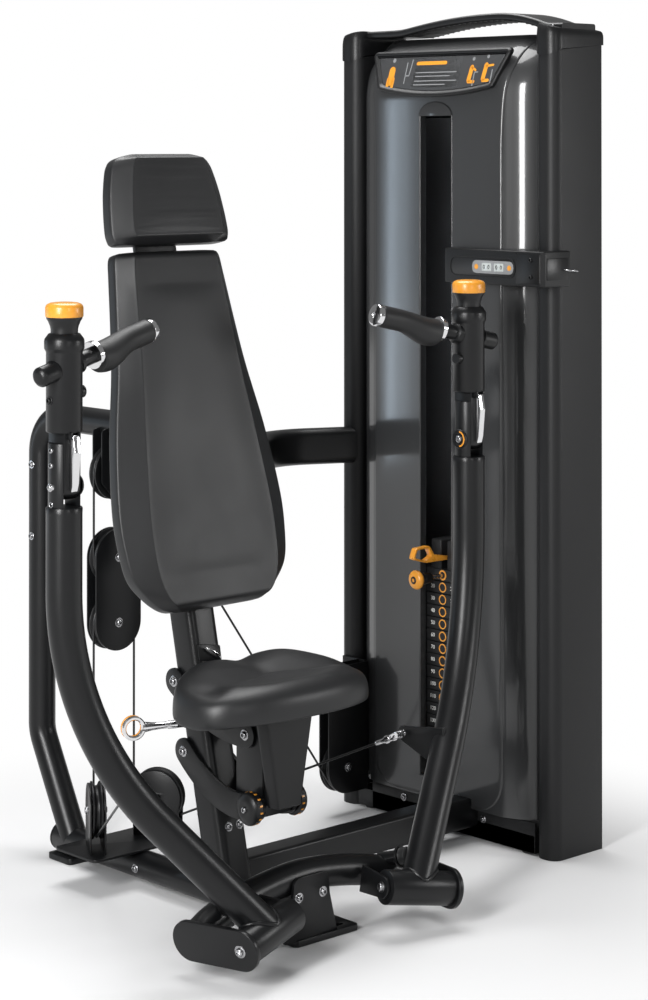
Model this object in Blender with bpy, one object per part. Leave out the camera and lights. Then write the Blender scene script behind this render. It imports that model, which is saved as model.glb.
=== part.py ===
"""Selectorised chest press machine with a side weight tower.

Metres, +Z up, floor at z = 0. The user sits on the plane x = 0 and faces -Y;
the weight tower stands at +X. The origin is on the floor under the front foot.
"""
import math

import bmesh
import bpy
from mathutils import Matrix, Vector

for old in list(bpy.data.objects):
    bpy.data.objects.remove(old, do_unlink=True)

# Fits
GAP = 0.0003            # between two pieces that touch
FIT = 0.0005            # running clearance of a pin in its hole
WELD = 0.002            # how far two welded shapes run into each other
TUBE_SIDES = 16
TURN_SIDES = 16

# Floor frame
FOOT_T = 0.0127
FRONT_FOOT = (-0.045, 0.126, -0.042, 0.046)     # x low, x high, y low, y high
REAR_FOOT = (-0.042, 0.042, 0.700, 0.784)
RUNNER_R = 0.030
RUNNER_END_Y = 0.790
RUNNER_Z = FOOT_T - WELD + RUNNER_R
BEAM_Y = 0.262          # cross beam to the tower
BEAM_W = 0.060
BEAM_LOW_Z = 0.030
BEAM_H = 0.066

# Front bow tube and the press arm pivots (positive x side; the other is mirrored)
BOW_R = 0.031
BOW_Y = 0.002
BOW_TOP_Z = 0.125
BRACKET_T = 0.008
BRACKET_W = 0.115
PIVOT_OUT = Vector((0.274, -0.148, 0.076))
PIVOT_IN = Vector((0.125, -0.116, 0.102))
SLEEVE_R = 0.034
SHAFT_R = 0.010
END_PLATE_T = 0.010
END_PLATE_R = 0.040
BOW_BEHIND = 0.122      # from the pivot axis back to the bow tube's end
STOP_ALONG = 0.040      # up the arm from its foot to the rubber stop
BUMPER_R = 0.018
BUMPER_T = 0.020

# Press arms
ARM_R = 0.034
ARM_FOOT = Vector((0.218, -0.120, 0.114))
ARM_PLAN = math.radians(28.0)       # plane of the bend, from +X towards +Y
ARM_RAKE = math.radians(44.0)       # lower straight, from the vertical
ARM_LOWER = 0.272                   # length of the lower straight
ARM_BEND_R = 0.630
ARM_TOP_Z = 0.904
LUG_BACK = 0.1195                   # cable lug behind the arm
LUG_RISE = 0.030
LUG_UP = 0.259                      # along the arm from its foot
LUG_T = 0.010
LUG_R = 0.016
FORK_L = 0.050

# Handle posts
HINGE_Z = 0.945
CHEEK_R = 0.030
CHEEK_GAP = 0.0185                  # half width of the fork between the cheeks
CHEEK_TOP_Z = 1.026
TONGUE_D = 0.050
POST_LOW_Z = 1.045
POST_TOP_Z = 1.193
POST_R = 0.034
COLLAR_R = 0.0375
COLLAR_TOP_Z = 1.228
PLUNGER_R = 0.0255
BUTTON_FLARE_Z = 1.2585
BUTTON_R = 0.0355
BUTTON_TOP_Z = 1.286
GRIP_Z = 1.165
GRIP_DIR = Vector((-0.167, 0.030, 0.038)).normalized()
BAR_R = 0.016
STUB_OUT = 0.066                    # grip bar past the post on the outside
GRIP_FROM = 0.086                   # along the bar from the post's axis
GRIP_TO = 0.238
GRIP_R = 0.0235
TRIM_T = 0.011
LATCH_W = 0.014
LATCH_T = 0.011
LATCH_LOW_Z = 0.935
LATCH_PIN_R = 0.0028

# Seat column, seat linkage and back
LEAN = math.radians(12.65)
COLUMN_Y = 0.208                    # column axis at the runner's height
COLUMN_W = 0.075
COLUMN_D = 0.075
COLUMN_CORNER = 0.018
COLUMN_LENGTH = 0.975
PIVOT_BACK = 0.0335                 # seat link pivots behind the column's axis
LOWER_PIVOT_UP = 0.297
UPPER_PIVOT_UP = 0.440
LINK_STEP = Vector((0.0, -0.225, -0.071))
LINK_T = 0.008
LINK_R = 0.027
LINK_SAG = 0.034
PIN_R = 0.008
DIAL_R = 0.033
DIAL_T = 0.030
DIAL_NECK_R = 0.020
SEAT_PLATE_T = 0.0115
SEAT_RISE = 0.056                   # upper front pivot to the pad's underside
SEAT_HALF_W = 0.223
SEAT_FRONT_Y = -0.047
SEAT_REAR_Y = 0.208
SEAT_PAD_T = 0.048
SEAT_ROUND = 2.5                    # 2 is an oval plan, larger is squarer
SEAT_KICK = 0.034                   # rise of the top towards the rear
BOARD_T = 0.012
BOARD_HALF_W = 0.105
BACK_PAD_T = 0.064
BACK_LOW = 0.578                    # along the column, from the runner
BACK_OUTLINE = ((0.0, 0.114), (0.032, 0.168), (0.072, 0.202), (0.125, 0.215), (0.212, 0.219),
                (0.36, 0.201), (0.50, 0.173), (0.60, 0.159), (0.70, 0.147), (0.748, 0.137))
HEAD_LOW = 1.337
HEAD_OUTLINE = ((0.0, 0.148), (0.028, 0.158), (0.10, 0.151), (0.165, 0.135), (0.194, 0.118))
HEAD_PAD_T = 0.066
HEAD_FORWARD = 0.022
HEAD_PLATE_H = 0.125

# Rear upright and tie beam
UPRIGHT_R = 0.030
UPRIGHT_Y = 0.860
UPRIGHT_FOOT_Y = 0.738
UPRIGHT_KNEE_Z = 0.262
TOP_ARM_DROP = 0.02204              # top arm below the column's end
TOP_ARM_Z = RUNNER_Z + COLUMN_LENGTH * math.cos(LEAN) - TOP_ARM_DROP
TIE_Z = TOP_ARM_Z - 0.113
TIE_BOW = 0.082                     # the bend stands this far behind the rear column
TIE_H = 0.085
TIE_D = 0.055

# Weight tower
TOWER_X = 0.754
TOWER_D = 0.160
TOWER_Y = -0.005
TOWER_W = 0.692
POST_W = 0.062
NOSE_R = 0.026
TOWER_H = 1.800
CAP_H = 0.034
CAP_LIP = 0.003
ARCH_X = 0.786
ARCH_W = 0.112
ARCH_T = 0.017
ARCH_RISE = 0.029
ARCH_PEAK = -0.41                   # along the half span, towards the front column
SHROUD_X = 0.735
SHROUD_T = 0.004
SHROUD_LOW_Z = 0.074
SHROUD_BEND_Z = TOWER_H - 0.140
SHROUD_TOP_Z = TOWER_H + 0.026
SHROUD_ROLL = 0.090
SLOT_W = 0.103
PLACARD_T = 0.012
PLACARD_RAKE = math.radians(17.0)
SLOT_LOW_Z = 0.122
SLOT_TOP_Z = TOWER_H - 0.155
BASE_TOP_Z = 0.045
BASE_D = 0.103
TOP_BAR_Z = TOWER_H - 0.140
TOP_BAR_T = 0.028

# Weight stack
STACK_X = 0.755
PLATE_D = 0.120
PLATE_W = 0.340
PLATE_PITCH = 0.0282
PLATE_COUNT = 16
ROD_R = 0.0125
ROD_SPREAD = 0.130
STEM_R = 0.0135
BORE_FIT = 0.002
CUSHION_R = 0.030
CUSHION_H = 0.0742
SEAM = 0.003
PIN_HOLE_R = 0.0055
SELECTOR_R = 0.0048
HEAD_BLOCK_H = 0.066

# Cable drive
CABLE_R = 0.0025
SHEAVE_R = 0.060
PITCH_R = 0.055                     # cable's centreline on a pulley
SHEAVE_T = 0.022
AXLE_R = 0.007
CHEEK_T = 0.004
CHEEK_CLEAR = 0.0025
GROOVE_FIT = 0.0014
DRIVE_CLEAR = 0.027                 # cable plane in front of the rear column
DRIVE_Y = TOWER_Y + TOWER_W - POST_W - DRIVE_CLEAR
UPPER_PULLEY_Z = TOP_ARM_Z - 0.102
DEAD_END_Z = UPPER_PULLEY_Z - 0.050
FLOAT_HIGH_Z = UPPER_PULLEY_Z - 0.183
FLOAT_LOW_Z = FLOAT_HIGH_Z - 0.1415
BASE_PULLEY_Z = 0.160
TOWER_PULLEY_X = 0.682
TOWER_PULLEY_Z = 0.112
TOWER_REAR_X = 0.842
TOP_PULLEY_Z = TOWER_H - 0.048
FLANGE_LOW_Z = 0.080
FLANGE_TOP_Z = 0.352

# Rep counter on the front column
COUNTER_X = 0.698
COUNTER_T = 0.032
COUNTER_Y = 0.287
COUNTER_Z = 1.304
COUNTER_H = 0.078
COUNTER_WRAP = 0.016
COUNTER_BUTTON_R = 0.0065
COUNTER_BUTTON_Y = (0.178, 0.078)

UP = Vector((0, 0, 1))
SIDES = (("right", -1), ("left", 1))         # the user's own sides
TOWER_MID = TOWER_Y + TOWER_W / 2
INNER_Y0 = TOWER_Y + POST_W
INNER_Y1 = TOWER_Y + TOWER_W - POST_W
STACK_MID_X = STACK_X + PLATE_D / 2


def material(name, colour, roughness, metallic=0.0):
    mat = bpy.data.materials.new(name)
    mat.use_nodes = True
    shader = mat.node_tree.nodes["Principled BSDF"]
    shader.inputs["Base Color"].default_value = (*colour, 1.0)
    shader.inputs["Roughness"].default_value = roughness
    shader.inputs["Metallic"].default_value = metallic
    return mat


POWDER = material("powder_coat", (0.022, 0.023, 0.025), 0.42)
COLUMN_COAT = material("column_coat", (0.030, 0.031, 0.033), 0.45)
SHROUD = material("shroud_plastic", (0.055, 0.056, 0.058), 0.38)
BLACK = material("black_plastic", (0.018, 0.018, 0.019), 0.50)
CHROME = material("chrome", (0.75, 0.75, 0.76), 0.12, 1.0)
STEEL = material("bright_steel", (0.60, 0.60, 0.61), 0.25, 1.0)
IRON = material("cast_iron", (0.020, 0.020, 0.021), 0.60)
RUBBER = material("rubber", (0.015, 0.015, 0.015), 0.75)
VINYL = material("vinyl", (0.030, 0.031, 0.033), 0.55)
ORANGE = material("orange_plastic", (0.80, 0.34, 0.03), 0.35)
CABLE = material("coated_cable", (0.012, 0.012, 0.012), 0.45)


def finish(name, bm, mat, origin=(0, 0, 0)):
    """Turn a closed bmesh in world coordinates into an object whose origin is given."""
    bmesh.ops.remove_doubles(bm, verts=bm.verts, dist=1e-6)
    bmesh.ops.recalc_face_normals(bm, faces=bm.faces)
    bmesh.ops.translate(bm, verts=bm.verts, vec=-Vector(origin))
    mesh = bpy.data.meshes.new(name)
    bm.to_mesh(mesh)
    bm.free()
    mesh.materials.append(mat)
    mesh.shade_smooth()
    mesh.set_sharp_from_angle(angle=math.radians(35))
    obj = bpy.data.objects.new(name, mesh)
    obj.location = origin
    bpy.context.scene.collection.objects.link(obj)
    return obj


def tidy(mesh):
    """Weld the slivers that a Boolean leaves along its seams."""
    bm = bmesh.new()
    bm.from_mesh(mesh)
    bmesh.ops.remove_doubles(bm, verts=bm.verts, dist=2e-5)
    bmesh.ops.dissolve_degenerate(bm, edges=bm.edges, dist=2e-5)
    bm.to_mesh(mesh)
    bm.free()


def combine(obj, tool, operation):
    """Join or cut an object with a closed bmesh by an exact Boolean."""
    mat = obj.data.materials[0]
    cutter = finish("tool", tool, mat)
    modifier = obj.modifiers.new("combine", "BOOLEAN")
    modifier.operation = operation
    modifier.object = cutter
    bpy.context.view_layer.update()
    graph = bpy.context.evaluated_depsgraph_get()
    mesh = bpy.data.meshes.new_from_object(obj.evaluated_get(graph))
    tidy(mesh)
    obj.modifiers.clear()
    name = obj.name
    old_mesh = obj.data
    obj.data = mesh
    bpy.data.meshes.remove(old_mesh)
    mesh.name = name
    mesh.materials.clear()
    mesh.materials.append(mat)
    bpy.data.objects.remove(cutter, do_unlink=True)
    return obj


def union(obj, *tools):
    for tool in tools:
        combine(obj, tool, "UNION")
    return obj


def cut(obj, *tools):
    for tool in tools:
        combine(obj, tool, "DIFFERENCE")
    return obj


def group(*meshes):
    """Put separate closed solids into one bmesh."""
    whole = bmesh.new()
    for bm in meshes:
        part = bpy.data.meshes.new("part")
        bm.to_mesh(part)
        bm.free()
        whole.from_mesh(part)
        bpy.data.meshes.remove(part)
    return whole


def mirrored(bm):
    """A copy of a bmesh on the other side of x = 0."""
    twin = bm.copy()
    bmesh.ops.scale(twin, verts=twin.verts, vec=(-1, 1, 1))
    bmesh.ops.reverse_faces(twin, faces=twin.faces)
    return twin


def loft(rings):
    """Skin a list of point rings and close both ends."""
    bm = bmesh.new()
    rows = [[bm.verts.new(point) for point in ring] for ring in rings]
    count = len(rows[0])
    for low, high in zip(rows, rows[1:]):
        for i in range(count):
            bm.faces.new((low[i], low[(i + 1) % count], high[(i + 1) % count], high[i]))
    bm.faces.new(rows[0])
    bm.faces.new(rows[-1])
    return bm


def block(low, high):
    bm = bmesh.new()
    bmesh.ops.create_cube(bm, size=1.0)
    low, high = Vector(low), Vector(high)
    bmesh.ops.scale(bm, verts=bm.verts, vec=high - low)
    bmesh.ops.translate(bm, verts=bm.verts, vec=(low + high) / 2)
    return bm


def soften(bm, width, segments=1):
    bmesh.ops.bevel(bm, geom=bm.edges[:], offset=width, segments=segments, profile=0.5,
                    affect="EDGES", clamp_overlap=True, material=-1)
    return bm


def circle(radius, sides=TUBE_SIDES):
    step = 2 * math.pi / sides
    return [(radius * math.cos(i * step), radius * math.sin(i * step)) for i in range(sides)]


def arc(centre, radius, start, end, steps):
    """Points on an arc; the angles are in degrees."""
    points = []
    for i in range(steps + 1):
        angle = math.radians(start + (end - start) * i / steps)
        points.append((centre[0] + radius * math.cos(angle), centre[1] + radius * math.sin(angle)))
    return points


def rounded_box(width, height, corner, steps=3):
    half_w, half_h = width / 2 - corner, height / 2 - corner
    points = []
    for k, (x, y) in enumerate(((half_w, half_h), (-half_w, half_h), (-half_w, -half_h), (half_w, -half_h))):
        points += arc((x, y), corner, 90 * k, 90 * k + 90, steps)
    return points


def bend(corners, radius, steps=6):
    """A path through corner points with every inner corner rounded to a radius."""
    corners = [Vector(c) for c in corners]
    path = [corners[0]]
    for before, here, after in zip(corners, corners[1:], corners[2:]):
        into, out = (here - before).normalized(), (after - here).normalized()
        turn = into.angle(out)
        reach = radius * math.tan(turn / 2)
        start = here - into * reach
        axis = into.cross(out).normalized()
        middle = start + axis.cross(into) * radius
        for i in range(steps + 1):
            path.append(middle + Matrix.Rotation(turn * i / steps, 3, axis) @ (start - middle))
    path.append(corners[-1])
    return path


def sweep(path, section, side, ends=(None, None)):
    """Carry a section along a path. side is the section's first axis at the start.

    ends may give a plane (point, normal) for each end, onto which the end ring is carried.
    """
    path = [Vector(p) for p in path]
    rings = []
    side = Vector(side)
    for i, point in enumerate(path):
        ahead = path[min(i + 1, len(path) - 1)] - point
        behind = point - path[max(i - 1, 0)]
        tangent = (ahead.normalized() + behind.normalized()).normalized()
        side = (side - tangent * side.dot(tangent)).normalized()
        other = tangent.cross(side)
        rings.append([point + side * a + other * b for a, b in section])
        plane = ends[0] if i == 0 else ends[1] if i == len(path) - 1 else None
        if plane:
            spot, normal = Vector(plane[0]), Vector(plane[1])
            rings[-1] = [p + tangent * ((spot - p).dot(normal) / tangent.dot(normal)) for p in rings[-1]]
    return loft(rings)


def frame_axes(axis, lead):
    """Unit vectors along an axis, towards a lead direction, and square to both."""
    axis = Vector(axis).normalized()
    lead = Vector(lead)
    first = (lead - axis * lead.dot(axis)).normalized()
    return axis, first, axis.cross(first)


def turned(profile, centre, axis, lead=UP, sides=TURN_SIDES):
    """Turn a profile of (along the axis, radius) pairs. Radius 0 closes the end to a point."""
    axis, first, second = frame_axes(axis, lead if abs(Vector(axis).normalized().dot(lead)) < 0.99 else (1, 0, 0))
    rings = []
    for along, radius in profile:
        spot = Vector(centre) + axis * along
        rings.append([spot + first * a + second * b for a, b in circle(max(radius, 1e-7), sides)])
    return loft(rings)


def rod(start, end, radius, sides=TURN_SIDES):
    length = (Vector(end) - Vector(start)).length
    return turned(((0, radius), (length, radius)), start, Vector(end) - Vector(start), sides=sides)


def cross_rod(centre, half_length, radius, sides=12):
    reach = Vector((half_length, 0, 0))
    return rod(Vector(centre) - reach, Vector(centre) + reach, radius, sides)


def ring(start, end, outer, inner, sides=TURN_SIDES):
    """A tube wall between two points."""
    start, end = Vector(start), Vector(end)
    axis, first, second = frame_axes(end - start, UP if abs((end - start).normalized().z) < 0.9 else (1, 0, 0))
    loops = []
    for spot, radius in ((start, inner), (start, outer), (end, outer), (end, inner)):
        loops.append([spot + first * a + second * b for a, b in circle(radius, sides)])
    return loft_closed(loops)


def loft_closed(rings):
    """Skin rings whose last joins the first."""
    bm = bmesh.new()
    rows = [[bm.verts.new(point) for point in one] for one in rings]
    count = len(rows[0])
    for low, high in zip(rows, rows[1:] + rows[:1]):
        for i in range(count):
            bm.faces.new((low[i], low[(i + 1) % count], high[(i + 1) % count], high[i]))
    return bm


def plate(outline, origin, u, v, thickness):
    """Extrude a flat outline given in u and v along u x v."""
    origin, u, v = Vector(origin), Vector(u), Vector(v)
    rise = u.cross(v).normalized() * thickness
    flat = [origin + u * a + v * b for a, b in outline]
    return loft([flat, [p + rise for p in flat]])


def capsule(a, b, radius_a, radius_b, steps=6):
    """Outline round two circles joined by straight sides."""
    heading = math.degrees(math.atan2(b[1] - a[1], b[0] - a[0]))
    points = arc(b, radius_b, heading - 90, heading + 90, steps)
    points += arc(a, radius_a, heading + 90, heading + 270, steps)
    return points


def mix(pairs, value):
    """Straight interpolation in a short list of (position, size) pairs."""
    for (x0, y0), (x1, y1) in zip(pairs, pairs[1:]):
        if value <= x1:
            return y0 + (y1 - y0) * (value - x0) / (x1 - x0)
    return pairs[-1][1]


def lean(x, back, up):
    """A point in the seat column's own axes: sideways, behind its axis, along it."""
    return Vector((x,
                   COLUMN_Y + back * math.cos(LEAN) + up * math.sin(LEAN),
                   RUNNER_Z - back * math.sin(LEAN) + up * math.cos(LEAN)))


def lean_block(low, high):
    bm = block(low, high)
    for vert in bm.verts:
        vert.co = lean(*vert.co)
    return bm


# Floor frame

def runner_cutter():
    return rod((0, -0.2, RUNNER_Z), (0, 1.0, RUNNER_Z), RUNNER_R + GAP, 24)


def build_floor_frame():
    """Runner tube welded to its two feet and to the plates that clamp the bow."""
    start = BOW_Y - BOW_R - GAP - WELD
    base = finish("base_runner", rod((0, start, RUNNER_Z), (0, RUNNER_END_Y, RUNNER_Z), RUNNER_R, 24), POWDER)
    for x0, x1, y0, y1 in (FRONT_FOOT, REAR_FOOT):
        foot = block((x0, y0, 0), (x1, y1, FOOT_T))
        edges = [e for e in foot.edges if abs(e.verts[0].co.z - e.verts[1].co.z) > FOOT_T / 2]
        bmesh.ops.bevel(foot, geom=edges, offset=0.012, segments=2, profile=0.5, affect="EDGES", material=-1)
        union(base, foot)
    union(base, *front_plates())
    beam_start = COLUMN_W / 2 + GAP
    beam = sweep([(beam_start, BEAM_Y, BEAM_LOW_Z + BEAM_H / 2), (TOWER_X + CAP_LIP - GAP, BEAM_Y, BEAM_LOW_Z + BEAM_H / 2)],
                 rounded_box(BEAM_W, BEAM_H, 0.008), (0, 1, 0))
    finish("cross_beam", beam, POWDER)


# Front bow, pivots and stops

PIVOT_AXIS = (PIVOT_OUT - PIVOT_IN).normalized()
_, PIVOT_BACKWARD, PIVOT_RISE = frame_axes(PIVOT_AXIS, (0, 1, 0))
ARM_DIR = Vector((math.sin(ARM_RAKE) * math.cos(ARM_PLAN), math.sin(ARM_RAKE) * math.sin(ARM_PLAN), math.cos(ARM_RAKE)))
BOW_END = PIVOT_OUT + PIVOT_BACKWARD * BOW_BEHIND + PIVOT_AXIS * WELD


def bow_path():
    right = [BOW_END, BOW_END - PIVOT_AXIS * 0.022]
    for k in (0.8, 0.65, 0.5, 0.35, 0.18):
        x = BOW_END.x * k
        right.append(Vector((x, BOW_Y + (BOW_END.y - BOW_Y) * k ** 3,
                             BOW_TOP_Z + (BOW_END.z - BOW_TOP_Z) * k ** 1.6)))
    left = [Vector((-p.x, p.y, p.z)) for p in right]
    return left + [Vector((0, BOW_Y, BOW_TOP_Z))] + right[::-1]


def front_plates():
    """Two upright plates on the front foot that hold the bow tube between them."""
    half = BRACKET_W / 2
    top = BOW_TOP_Z + 0.010
    outline = [(-half - 0.012, FOOT_T - WELD), (half + 0.012, FOOT_T - WELD), (half - 0.008, 0.090)]
    outline += arc((half - 0.030, top - 0.020), 0.020, 20, 90, 3)
    outline += arc((-half + 0.030, top - 0.020), 0.020, 90, 160, 3)
    outline.append((-half + 0.008, 0.090))
    front_y = BOW_Y - BOW_R - GAP
    front = plate(outline, (0, front_y, 0), (1, 0, 0), (0, 0, 1), BRACKET_T)
    low = [(-half - 0.012, FOOT_T - WELD), (half + 0.012, FOOT_T - WELD), (half - 0.008, 0.088), (-half + 0.008, 0.088)]
    rear = plate(low, (0, BOW_Y + BOW_R + GAP + BRACKET_T, 0), (1, 0, 0), (0, 0, 1), BRACKET_T)
    return front, rear


def end_plate():
    outline = capsule((0, 0), (BOW_BEHIND, 0), END_PLATE_R, END_PLATE_R)
    return plate(outline, PIVOT_OUT, PIVOT_BACKWARD, PIVOT_RISE, END_PLATE_T)


def inner_plate():
    reach = BOW_BEHIND - BOW_R - 0.013
    outline = arc((0, 0), 0.022, 110, 250, 5) + [(reach, -0.026), (reach, 0.026)]
    return plate(outline, PIVOT_IN - PIVOT_AXIS * BRACKET_T, PIVOT_BACKWARD, PIVOT_RISE, BRACKET_T)


def shaft_cutter(radius):
    return rod(PIVOT_IN - PIVOT_AXIS * 0.05, PIVOT_OUT + PIVOT_AXIS * 0.05, radius)


def stop_axis():
    """Start of the rubber stop on the arm's back, and its direction towards the bow."""
    backward = Vector((0, 1, 0))
    normal = (backward - ARM_DIR * backward.dot(ARM_DIR)).normalized()
    return ARM_FOOT + ARM_DIR * STOP_ALONG + normal * (ARM_R + GAP), normal


def build_bow():
    """Bow tube welded to the pivot plates, the shafts and the posts of the rubber stops."""
    bow = finish("bow_frame", sweep(bow_path(), circle(BOW_R), (0, 1, 0)), POWDER)
    head = 0.007
    length = (PIVOT_OUT - PIVOT_IN).length
    shaft = turned(((-BRACKET_T - head, 0.011), (-BRACKET_T + WELD, 0.011), (-BRACKET_T + WELD, SHAFT_R),
                    (length + END_PLATE_T - WELD, SHAFT_R), (length + END_PLATE_T - WELD, 0.013),
                    (length + END_PLATE_T + head, 0.013)), PIVOT_IN, PIVOT_AXIS)
    start, normal = stop_axis()
    post = turned(((BUMPER_T + GAP, 0.022), (BUMPER_T + 0.006, 0.022), (BUMPER_T + 0.006, 0.013), (0.075, 0.013)),
                  start, normal)
    for solid in (end_plate(), inner_plate(), shaft, post):
        union(bow, mirrored(solid), solid)
    bumper = turned(((0, BUMPER_R * 0.8), (0.004, BUMPER_R), (BUMPER_T, BUMPER_R)), start, normal)
    finish("right_bumper", mirrored(bumper), RUBBER)
    finish("left_bumper", bumper, RUBBER)


# Press arms

def arm_path():
    plan = Vector((math.cos(ARM_PLAN), math.sin(ARM_PLAN), 0))
    bend_start = ARM_FOOT + ARM_DIR * ARM_LOWER
    path = [ARM_FOOT - ARM_DIR * 0.024, bend_start]
    centre = bend_start - (plan * math.cos(ARM_RAKE) - UP * math.sin(ARM_RAKE)) * ARM_BEND_R
    steps = 7
    for i in range(1, steps + 1):
        angle = ARM_RAKE * (1 - i / steps)
        path.append(centre + (plan * math.cos(angle) - UP * math.sin(angle)) * ARM_BEND_R)
    path.append(Vector((path[-1].x, path[-1].y, ARM_TOP_Z)))
    return path


ARM_TOP = arm_path()[-1]
HINGE = Vector((ARM_TOP.x, ARM_TOP.y, HINGE_Z))
LUG_PIN = ARM_FOOT + ARM_DIR * LUG_UP + Vector((0, LUG_BACK, LUG_RISE))


def lug():
    """Upright ear behind the arm that takes the cable's fork."""
    root = ARM_FOOT + ARM_DIR * LUG_UP
    outline = [(0.0, -0.030)] + arc((LUG_BACK, LUG_RISE), LUG_R, -70, 100, 12) + [(0.040, 0.056), (0.0, 0.062)]
    return plate(outline, root - Vector((LUG_T / 2, 0, 0)), (0, 1, 0), UP, LUG_T)


def cheeks():
    """Two sides of the hinge fork on top of the arm."""
    half = math.degrees(math.acos(CHEEK_GAP / CHEEK_R))
    solids = []
    for turn in (0, 180):
        outline = arc((0, 0), CHEEK_R, turn - half, turn + half, 6)
        base = Vector((HINGE.x, HINGE.y, ARM_TOP_Z - 0.004))
        solids.append(plate(outline, base, (1, 0, 0), (0, 1, 0), CHEEK_TOP_Z - base.z))
    return solids


def build_arm(side, sign):
    flip = (lambda bm: bm) if sign > 0 else mirrored
    origin = Vector((PIVOT_OUT.x * sign, PIVOT_OUT.y, PIVOT_OUT.z))
    sleeve = rod(PIVOT_IN + PIVOT_AXIS * GAP, PIVOT_OUT - PIVOT_AXIS * GAP, SLEEVE_R, 20)
    arm = finish(f"{side}_arm", flip(sleeve), POWDER, origin)
    tube = sweep(arm_path(), circle(ARM_R), (0, 0, 1))
    union(arm, flip(tube), flip(lug()), *[flip(c) for c in cheeks()])
    hinge_hole = rod(HINGE - Vector((0.05, 0, 0)), HINGE + Vector((0.05, 0, 0)), PIN_R + FIT, 12)
    cut(arm, flip(shaft_cutter(SHAFT_R + FIT)), flip(hinge_hole))


# Handle posts

def build_post(side, sign):
    flip = (lambda bm: bm) if sign > 0 else mirrored
    axis_x, axis_y = HINGE.x, HINGE.y
    origin = Vector((axis_x * sign, axis_y, HINGE_Z))
    base = Vector((axis_x, axis_y, 0))
    body = turned(((POST_LOW_Z, POST_R), (POST_TOP_Z, POST_R), (POST_TOP_Z + 0.006, COLLAR_R),
                   (COLLAR_TOP_Z - 0.012, COLLAR_R), (COLLAR_TOP_Z, PLUNGER_R + 0.004)), base, UP, sides=20)
    post = finish(f"{side}_post", flip(body), POWDER, origin)
    half = CHEEK_GAP - FIT
    outline = arc((0, HINGE_Z), TONGUE_D / 2, 180, 360, 6) + [(TONGUE_D / 2, POST_LOW_Z + 0.004), (-TONGUE_D / 2, POST_LOW_Z + 0.004)]
    tongue = plate(outline, (axis_x - half, axis_y, 0), (0, 1, 0), UP, 2 * half)
    pin = rod((axis_x - CHEEK_R - 0.004, axis_y, HINGE_Z), (axis_x + CHEEK_R + 0.004, axis_y, HINGE_Z), PIN_R, 12)
    centre = Vector((axis_x, axis_y, GRIP_Z))
    bar = rod(centre - GRIP_DIR * STUB_OUT, centre + GRIP_DIR * (GRIP_TO + TRIM_T - 0.003), BAR_R)
    stub = turned(((-STUB_OUT - 0.006, 0.012), (-STUB_OUT, 0.019), (-POST_R - 0.006, 0.019)), centre, GRIP_DIR)
    collar = turned(((GRIP_FROM - TRIM_T, GRIP_R + 0.003), (GRIP_FROM, GRIP_R + 0.003)), centre, GRIP_DIR)
    union(post, flip(tongue), flip(pin), flip(bar), flip(stub), flip(collar))
    well = rod((axis_x, axis_y, COLLAR_TOP_Z - 0.040), (axis_x, axis_y, COLLAR_TOP_Z + 0.010), PLUNGER_R + FIT, 20)
    cut(post, flip(well))
    grip_start, grip_end = GRIP_FROM + GAP, GRIP_TO - GAP
    rings = []
    for k in range(9):
        t = k / 8
        along = grip_start + (grip_end - grip_start) * t
        palm = max(0.0, 1 - abs(t - 0.16) / 0.42)
        sag = 0.010 * palm * palm * (3 - 2 * palm)
        axis, outward, upward = frame_axes(GRIP_DIR, UP)
        spot = centre + GRIP_DIR * along - outward * sag
        rings.append([spot + outward * a + upward * b for a, b in circle(GRIP_R + 0.35 * sag)])
    grip = finish(f"{side}_grip", flip(loft(rings)), RUBBER, origin)
    cut(grip, flip(rod(centre, centre + GRIP_DIR * 0.30, BAR_R + GAP)))
    cap = turned(((GRIP_TO, GRIP_R), (GRIP_TO + TRIM_T, GRIP_R), (GRIP_TO + TRIM_T + 0.003, GRIP_R - 0.004)), centre, GRIP_DIR)
    end_cap = finish(f"{side}_grip_cap", flip(cap), CHROME, origin)
    cut(end_cap, flip(rod(centre, centre + GRIP_DIR * (GRIP_TO + TRIM_T - 0.003 + GAP), BAR_R + GAP)))
    button = turned(((COLLAR_TOP_Z - 0.026, PLUNGER_R), (COLLAR_TOP_Z + 0.010, PLUNGER_R),
                     (BUTTON_FLARE_Z - 0.004, PLUNGER_R + 0.006), (BUTTON_FLARE_Z, BUTTON_R - 0.003),
                     (BUTTON_FLARE_Z + 0.003, BUTTON_R), (BUTTON_TOP_Z - 0.008, BUTTON_R),
                     (BUTTON_TOP_Z - 0.002, BUTTON_R - 0.005), (BUTTON_TOP_Z, BUTTON_R * 0.55)), base, UP, sides=20)
    finish(f"{side}_button", flip(button), ORANGE, (axis_x * sign, axis_y, COLLAR_TOP_Z))
    front = axis_y - TONGUE_D / 2 - FIT
    top = POST_LOW_Z - 0.003
    outline = [(0, top), (-LATCH_T, top), (-LATCH_T - 0.006, top - 0.032), (-LATCH_T, LATCH_LOW_Z + 0.016),
               (-0.006, LATCH_LOW_Z), (0, LATCH_LOW_Z + 0.006)]
    latch_bm = plate(outline, (axis_x - LATCH_W / 2, front, 0), (0, 1, 0), UP, LATCH_W)
    pivot = Vector((axis_x, front - LATCH_T / 2, POST_LOW_Z - 0.006))
    latch = finish(f"{side}_latch", flip(latch_bm), CHROME, (pivot.x * sign, pivot.y, pivot.z))
    cut(latch, flip(cross_rod(pivot, 0.05, LATCH_PIN_R + FIT, 10)))
    reach = LATCH_W / 2 + FIT
    for x in (axis_x - reach - 0.004, axis_x + reach):
        union(post, flip(block((x, pivot.y - 0.005, pivot.z - 0.005), (x + 0.004, front + 0.004, POST_LOW_Z + WELD))))
    union(post, flip(cross_rod(pivot, reach + 0.003, LATCH_PIN_R, 10)))


# Seat column, rear upright and tie beam

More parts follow.
